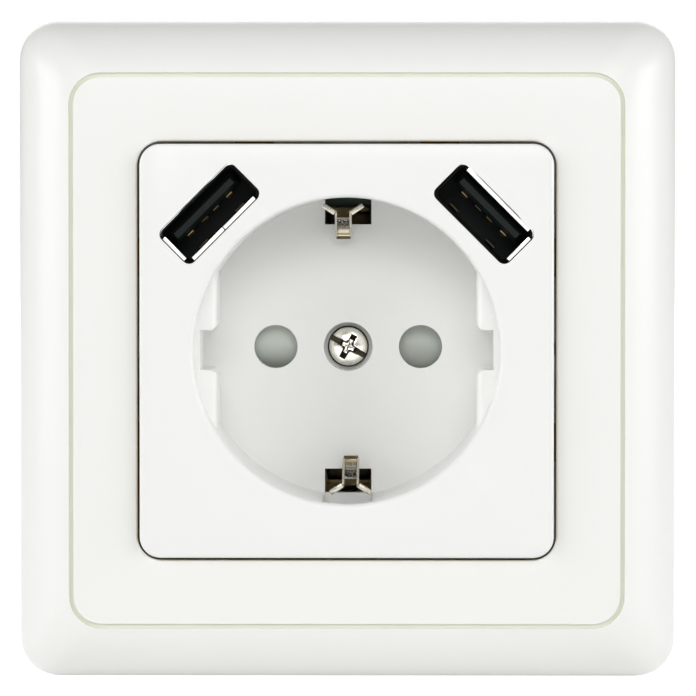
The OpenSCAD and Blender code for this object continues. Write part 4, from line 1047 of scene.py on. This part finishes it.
class SOCKET_OT_clips(bpy.types.Operator):
    """Bends the earth bracket: two arms, sprung fingers with raised edges, and spread wings"""
    bl_idname = "socket.clips"
    bl_label = "Model the earth bracket"

    bridge, reach, shoulder = -15.8, 18.0, -12.0

    def execute(self, context):
        size = sizes()
        t, level = size.clip_t, self.bridge
        upper = self.clip(0, -size.finger_shift - size.finger_more)
        lower = self.clip(math.pi, -size.finger_shift)
        pad = loft("pad", [(2.0, -18.5), (2.9, -18.5), (2.9, -16.3), (3.1, -16.1), (3.8, -16.1), (3.8, -15.5),
                           (2.0, -15.5)], 48, closed=True)
        tail = sheet(eased([(-15.3 + t, level), (-14.7, level), (-14.7, -25.7)], 0.6), 3.6, t, 0, 0.08)
        piece = stand(join("earth_bracket_body", upper, lower, pad, tail))
        smooth(piece)
        ready = finishes()
        dress(piece, ready["clip"], "earth_bracket")
        # Painted shade: the strip is darkened deep in the well, and each finger's web gets a dark band at its
        # fold, a warm band and a knurled near-black band
        give_faces(piece, ready["clip_shade"], self.deep)
        bands = (("clip_shade", 14.2, 14.58), ("clip_warm_shade", 14.72, 15.06), ("knurl", 15.8, 16.7))
        for key, low, high in bands:
            give_faces(piece, ready[key], lambda face: self.on_web(face, low, high))
        return {"FINISHED"}

    def clip(self, turn, shift):
        """One arm with its finger, whose edges stand up beside the web, and the two wings."""
        size = sizes()
        t, wide, reach = size.clip_t, size.finger_w, self.reach
        bend = eased([(0, self.bridge), (reach, self.bridge), (reach, self.shoulder)], 1.1)
        arm = sheet(bend, 5.6, t, 0, 0.08)
        web = sheet(eased([(reach, self.shoulder - 0.4), (reach, -7.4), (14.35, -5.9), (14.42, -5.15),
                           (14.6, -4.98), (14.75, -4.9), (15.08, -4.78), (15.62, -4.45), (15.78, -4.2),
                           (16.15, -3.1), (16.55, -1.95), (16.95, -1.7)], 0.06, 2),
                    wide - 0.3, t * 0.7, shift, 0.05)
        bar = wide / 2 - 0.15
        bars = [sheet(eased([(14.75, -5.2), (14.65, -5.0), (17.4, -0.1), (17.7, 1.0)], 0.4),
                      0.28, t * 0.9, shift + x, 0.05) for x in (-bar, bar)]
        wings = []
        for x in (-1, 1):
            wing = block(-0.95, 0.9, -t * 0.5, t * 0.5, -0.1, 2.45, 0.07)
            wing.matrix_basis = (Matrix.Translation((shift + x * 1.83, 18.2, 0))
                                 @ Matrix.Rotation(x * math.atan2(1.0, 1.5), 4, "Z"))
            settle(wing)
            wings.append(wing)
        clip = join("clip", arm, web, *bars, *wings)
        clip.matrix_basis = Matrix.Rotation(turn, 4, "Z")
        settle(clip)
        return clip

    def deep(self, face):
        """Whether the face lies where the strip is in the well's shade."""
        middle = face.calc_center_median() / MM
        return -middle.y < -5.9 or (-middle.y < -5.0 and abs(middle.z) > 15.6)

    def on_web(self, face, low, high):
        """Whether the face is on a finger's web, between two distances from the well's axis."""
        middle = face.calc_center_median() / MM
        aside = -middle.x * math.copysign(1, middle.z)
        return low < abs(middle.z) < high and -5.3 < -middle.y < -1.4 and 0.2 < aside < 0.75


class SOCKET_OT_claw_screws(bpy.types.Operator):
    """Turns and threads the two claw screws"""
    bl_idname = "socket.claw_screws"
    bl_label = "Model the claw screws"

    def execute(self, context):
        size = sizes()
        foot, waist = -24.0, 1.2
        for side, name in ((-1, "left"), (1, "right")):
            head = loft("head", [(1.3, 0), (2.42, 0), (2.5, 0.08), (2.5, 1.55), (2.36, 1.84), (2.0, 2.0),
                                 (0.05, 2.0)], 48, caps=True)
            cut(head, block(-3, 3, -0.4, 0.4, 1.2, 3))
            soften(head, 0.06)
            core = loft("core", [(waist - 0.5, foot), (waist, foot + 0.5), (waist, 0.1)], 32, caps=True)
            wound = thread(1.5, size.thread_h, size.pitch, foot + 0.1, 33, 20)
            piece = join("claw_screw_" + name + "_body", head, core, wound)
            piece.location = (side * size.claw_x, 0, size.claw_head)
            stand(piece)
            smooth(piece)
            dress(piece, finishes()["screw"], "claw_screw_" + name)
        return {"FINISHED"}


class SOCKET_OT_stage(bpy.types.Operator):
    """Sets the floor, the lamps, the sky and the camera"""
    bl_idname = "socket.stage"
    bl_label = "Set the stage"

    def execute(self, context):
        self.floor()
        self.lamps()
        self.sky(context.scene)
        self.camera(context.scene)
        return {"FINISHED"}

    def floor(self):
        deselect()
        bpy.ops.mesh.primitive_plane_add(size=6.0, location=(0, 0, FRONT_LOW.z - 0.1 * MM))
        floor = name_it(bpy.context.object, "floor")
        made = bpy.data.materials.new("Pale floor")
        made.use_nodes = True
        tree = made.node_tree
        shader = tree.nodes["Principled BSDF"]
        shader.inputs["Base Color"].default_value = (0.86, 0.86, 0.86, 1)
        shader.inputs["Roughness"].default_value = 0.8
        path = tree.nodes.new("ShaderNodeLightPath")
        glow = add(tree, "ShaderNodeEmission", [("Strength", stage().floor_glow)])
        none = add(tree, "ShaderNodeEmission", [("Strength", stage().floor_bounce)])
        seen = maths(tree, "MAXIMUM", path.outputs["Is Camera Ray"], path.outputs["Is Glossy Ray"])
        choose = add(tree, "ShaderNodeMixShader", [
            (0, seen), (1, none.outputs[0]), (2, glow.outputs[0])])
        both = add(tree, "ShaderNodeAddShader", [(0, shader.outputs[0]), (1, choose.outputs[0])])
        tree.links.new(both.outputs[0], tree.nodes["Material Output"].inputs["Surface"])
        floor.data.materials.append(made)

    def lamp(self, name, place, size, power):
        data = bpy.data.lights.new(name, "AREA")
        data.shape = "RECTANGLE"
        data.size, data.size_y = size
        data.energy = power
        lamp = bpy.data.objects.new(name, data)
        bpy.context.scene.collection.objects.link(lamp)
        lamp.location = place
        lamp.rotation_mode = "QUATERNION"
        lamp.rotation_quaternion = (-Vector(place)).to_track_quat("-Z", "Y")

    def lamps(self):
        level = stage()
        self.lamp("softbox_left", (-1.5, -0.6, 0.1), (1.1, 1.3), level.side_power)
        self.lamp("softbox_right", (1.5, -0.6, 0.1), (1.1, 1.3), level.side_power)
        self.lamp("softbox_back", (0.0, 1.5, 0.7), (1.4, 0.8), level.back_power)
        self.lamp("softbox_top", (0.0, -1.47, 0.6), (0.9, 0.5), level.top_power)

    def sky(self, scene):
        world = bpy.data.worlds.new("Studio")
        scene.world = world
        world.use_nodes = True
        tree = world.node_tree
        path = tree.nodes.new("ShaderNodeLightPath")
        seen = maths(tree, "MAXIMUM", path.outputs["Is Camera Ray"], path.outputs["Is Transmission Ray"])
        way = tree.nodes.new("ShaderNodeTexCoord").outputs["Generated"]
        ahead = maths(tree, "MULTIPLY", add(tree, "ShaderNodeSeparateXYZ", [(0, way)]).outputs["Y"], -1.0)
        patches = remap(tree, noise(tree, way, 1.6, 1.0), 0.42, 0.6, 0.22, 1.0)
        mirrored = maths(tree, "MULTIPLY", remap(tree, ahead, 0.3, 0.62, 0.3, 1.0), patches)
        even = add(tree, "ShaderNodeMix", [
            (0, path.outputs["Is Glossy Ray"]), (2, stage().sky_level), (3, mirrored)]).outputs[0]
        strength = add(tree, "ShaderNodeMix", [(0, seen), (2, even), (3, 1.0)]).outputs[0]
        tree.links.new(strength, tree.nodes["Background"].inputs["Strength"])
        tree.nodes["Background"].inputs["Color"].default_value = (1, 1, 1, 1)

    def camera(self, scene):
        look = stage()
        data = bpy.data.cameras.new("camera")
        data.lens = look.camera_lens
        data.sensor_width = 36.0
        data.clip_end = 20.0
        camera = bpy.data.objects.new("camera", data)
        scene.collection.objects.link(camera)
        ahead = Vector((
            -math.sin(look.camera_right) * math.cos(look.camera_above),
            math.cos(look.camera_right) * math.cos(look.camera_above),
            -math.sin(look.camera_above)))
        camera.rotation_mode = "QUATERNION"
        camera.rotation_quaternion = ahead.to_track_quat("-Z", "Y")
        across = ahead.cross(Vector((0, 0, 1))).normalized()
        above = across.cross(ahead)
        target = Vector((0, INSERT_LOW.y, 0)) + across * look.aim_right + above * look.aim_up
        camera.location = target - ahead * look.camera_distance
        scene.camera = camera
        scene.view_settings.view_transform = "Standard"


class SOCKET_PT_panel(bpy.types.Panel):
    """Lists the steps that make the socket"""
    bl_idname = "SOCKET_PT_panel"
    bl_label = "Wall socket"
    bl_space_type = "VIEW_3D"
    bl_region_type = "UI"
    bl_category = "Wall socket"

    def draw(self, context):
        for step in STEPS:
            self.layout.operator(step.bl_idname)
        for group in (SIZES, FINISH, STAGE):
            box = self.layout.box()
            for key in getattr(context.scene, group).bl_rna.properties.keys():
                if key not in {"rna_type", "name"}:
                    box.prop(getattr(context.scene, group), key)


STEPS = (
    SOCKET_OT_finishes, SOCKET_OT_welded, SOCKET_OT_cover, SOCKET_OT_insert, SOCKET_OT_screw, SOCKET_OT_ports,
    SOCKET_OT_clips, SOCKET_OT_claw_screws, SOCKET_OT_stage,
)
PROPERTY_GROUPS = {SIZES: SocketSizes, FINISH: SocketFinish, STAGE: SocketStage}


def register():
    for key, group in PROPERTY_GROUPS.items():
        bpy.utils.register_class(group)
        setattr(bpy.types.Scene, key, bpy.props.PointerProperty(type=group))
    for step in (*STEPS, SOCKET_PT_panel):
        bpy.utils.register_class(step)


def unregister():
    for step in reversed((*STEPS, SOCKET_PT_panel)):
        bpy.utils.unregister_class(step)
    for key, group in PROPERTY_GROUPS.items():
        delattr(bpy.types.Scene, key)
        bpy.utils.unregister_class(group)


def main():
    register()
    bpy.ops.socket.finishes()
    bpy.ops.socket.welded()
    bpy.ops.socket.cover()
    bpy.ops.socket.insert()
    bpy.ops.socket.screw()
    bpy.ops.socket.ports()
    bpy.ops.socket.clips()
    bpy.ops.socket.claw_screws()
    bpy.ops.socket.stage()


if __name__ == "__main__":
    main()
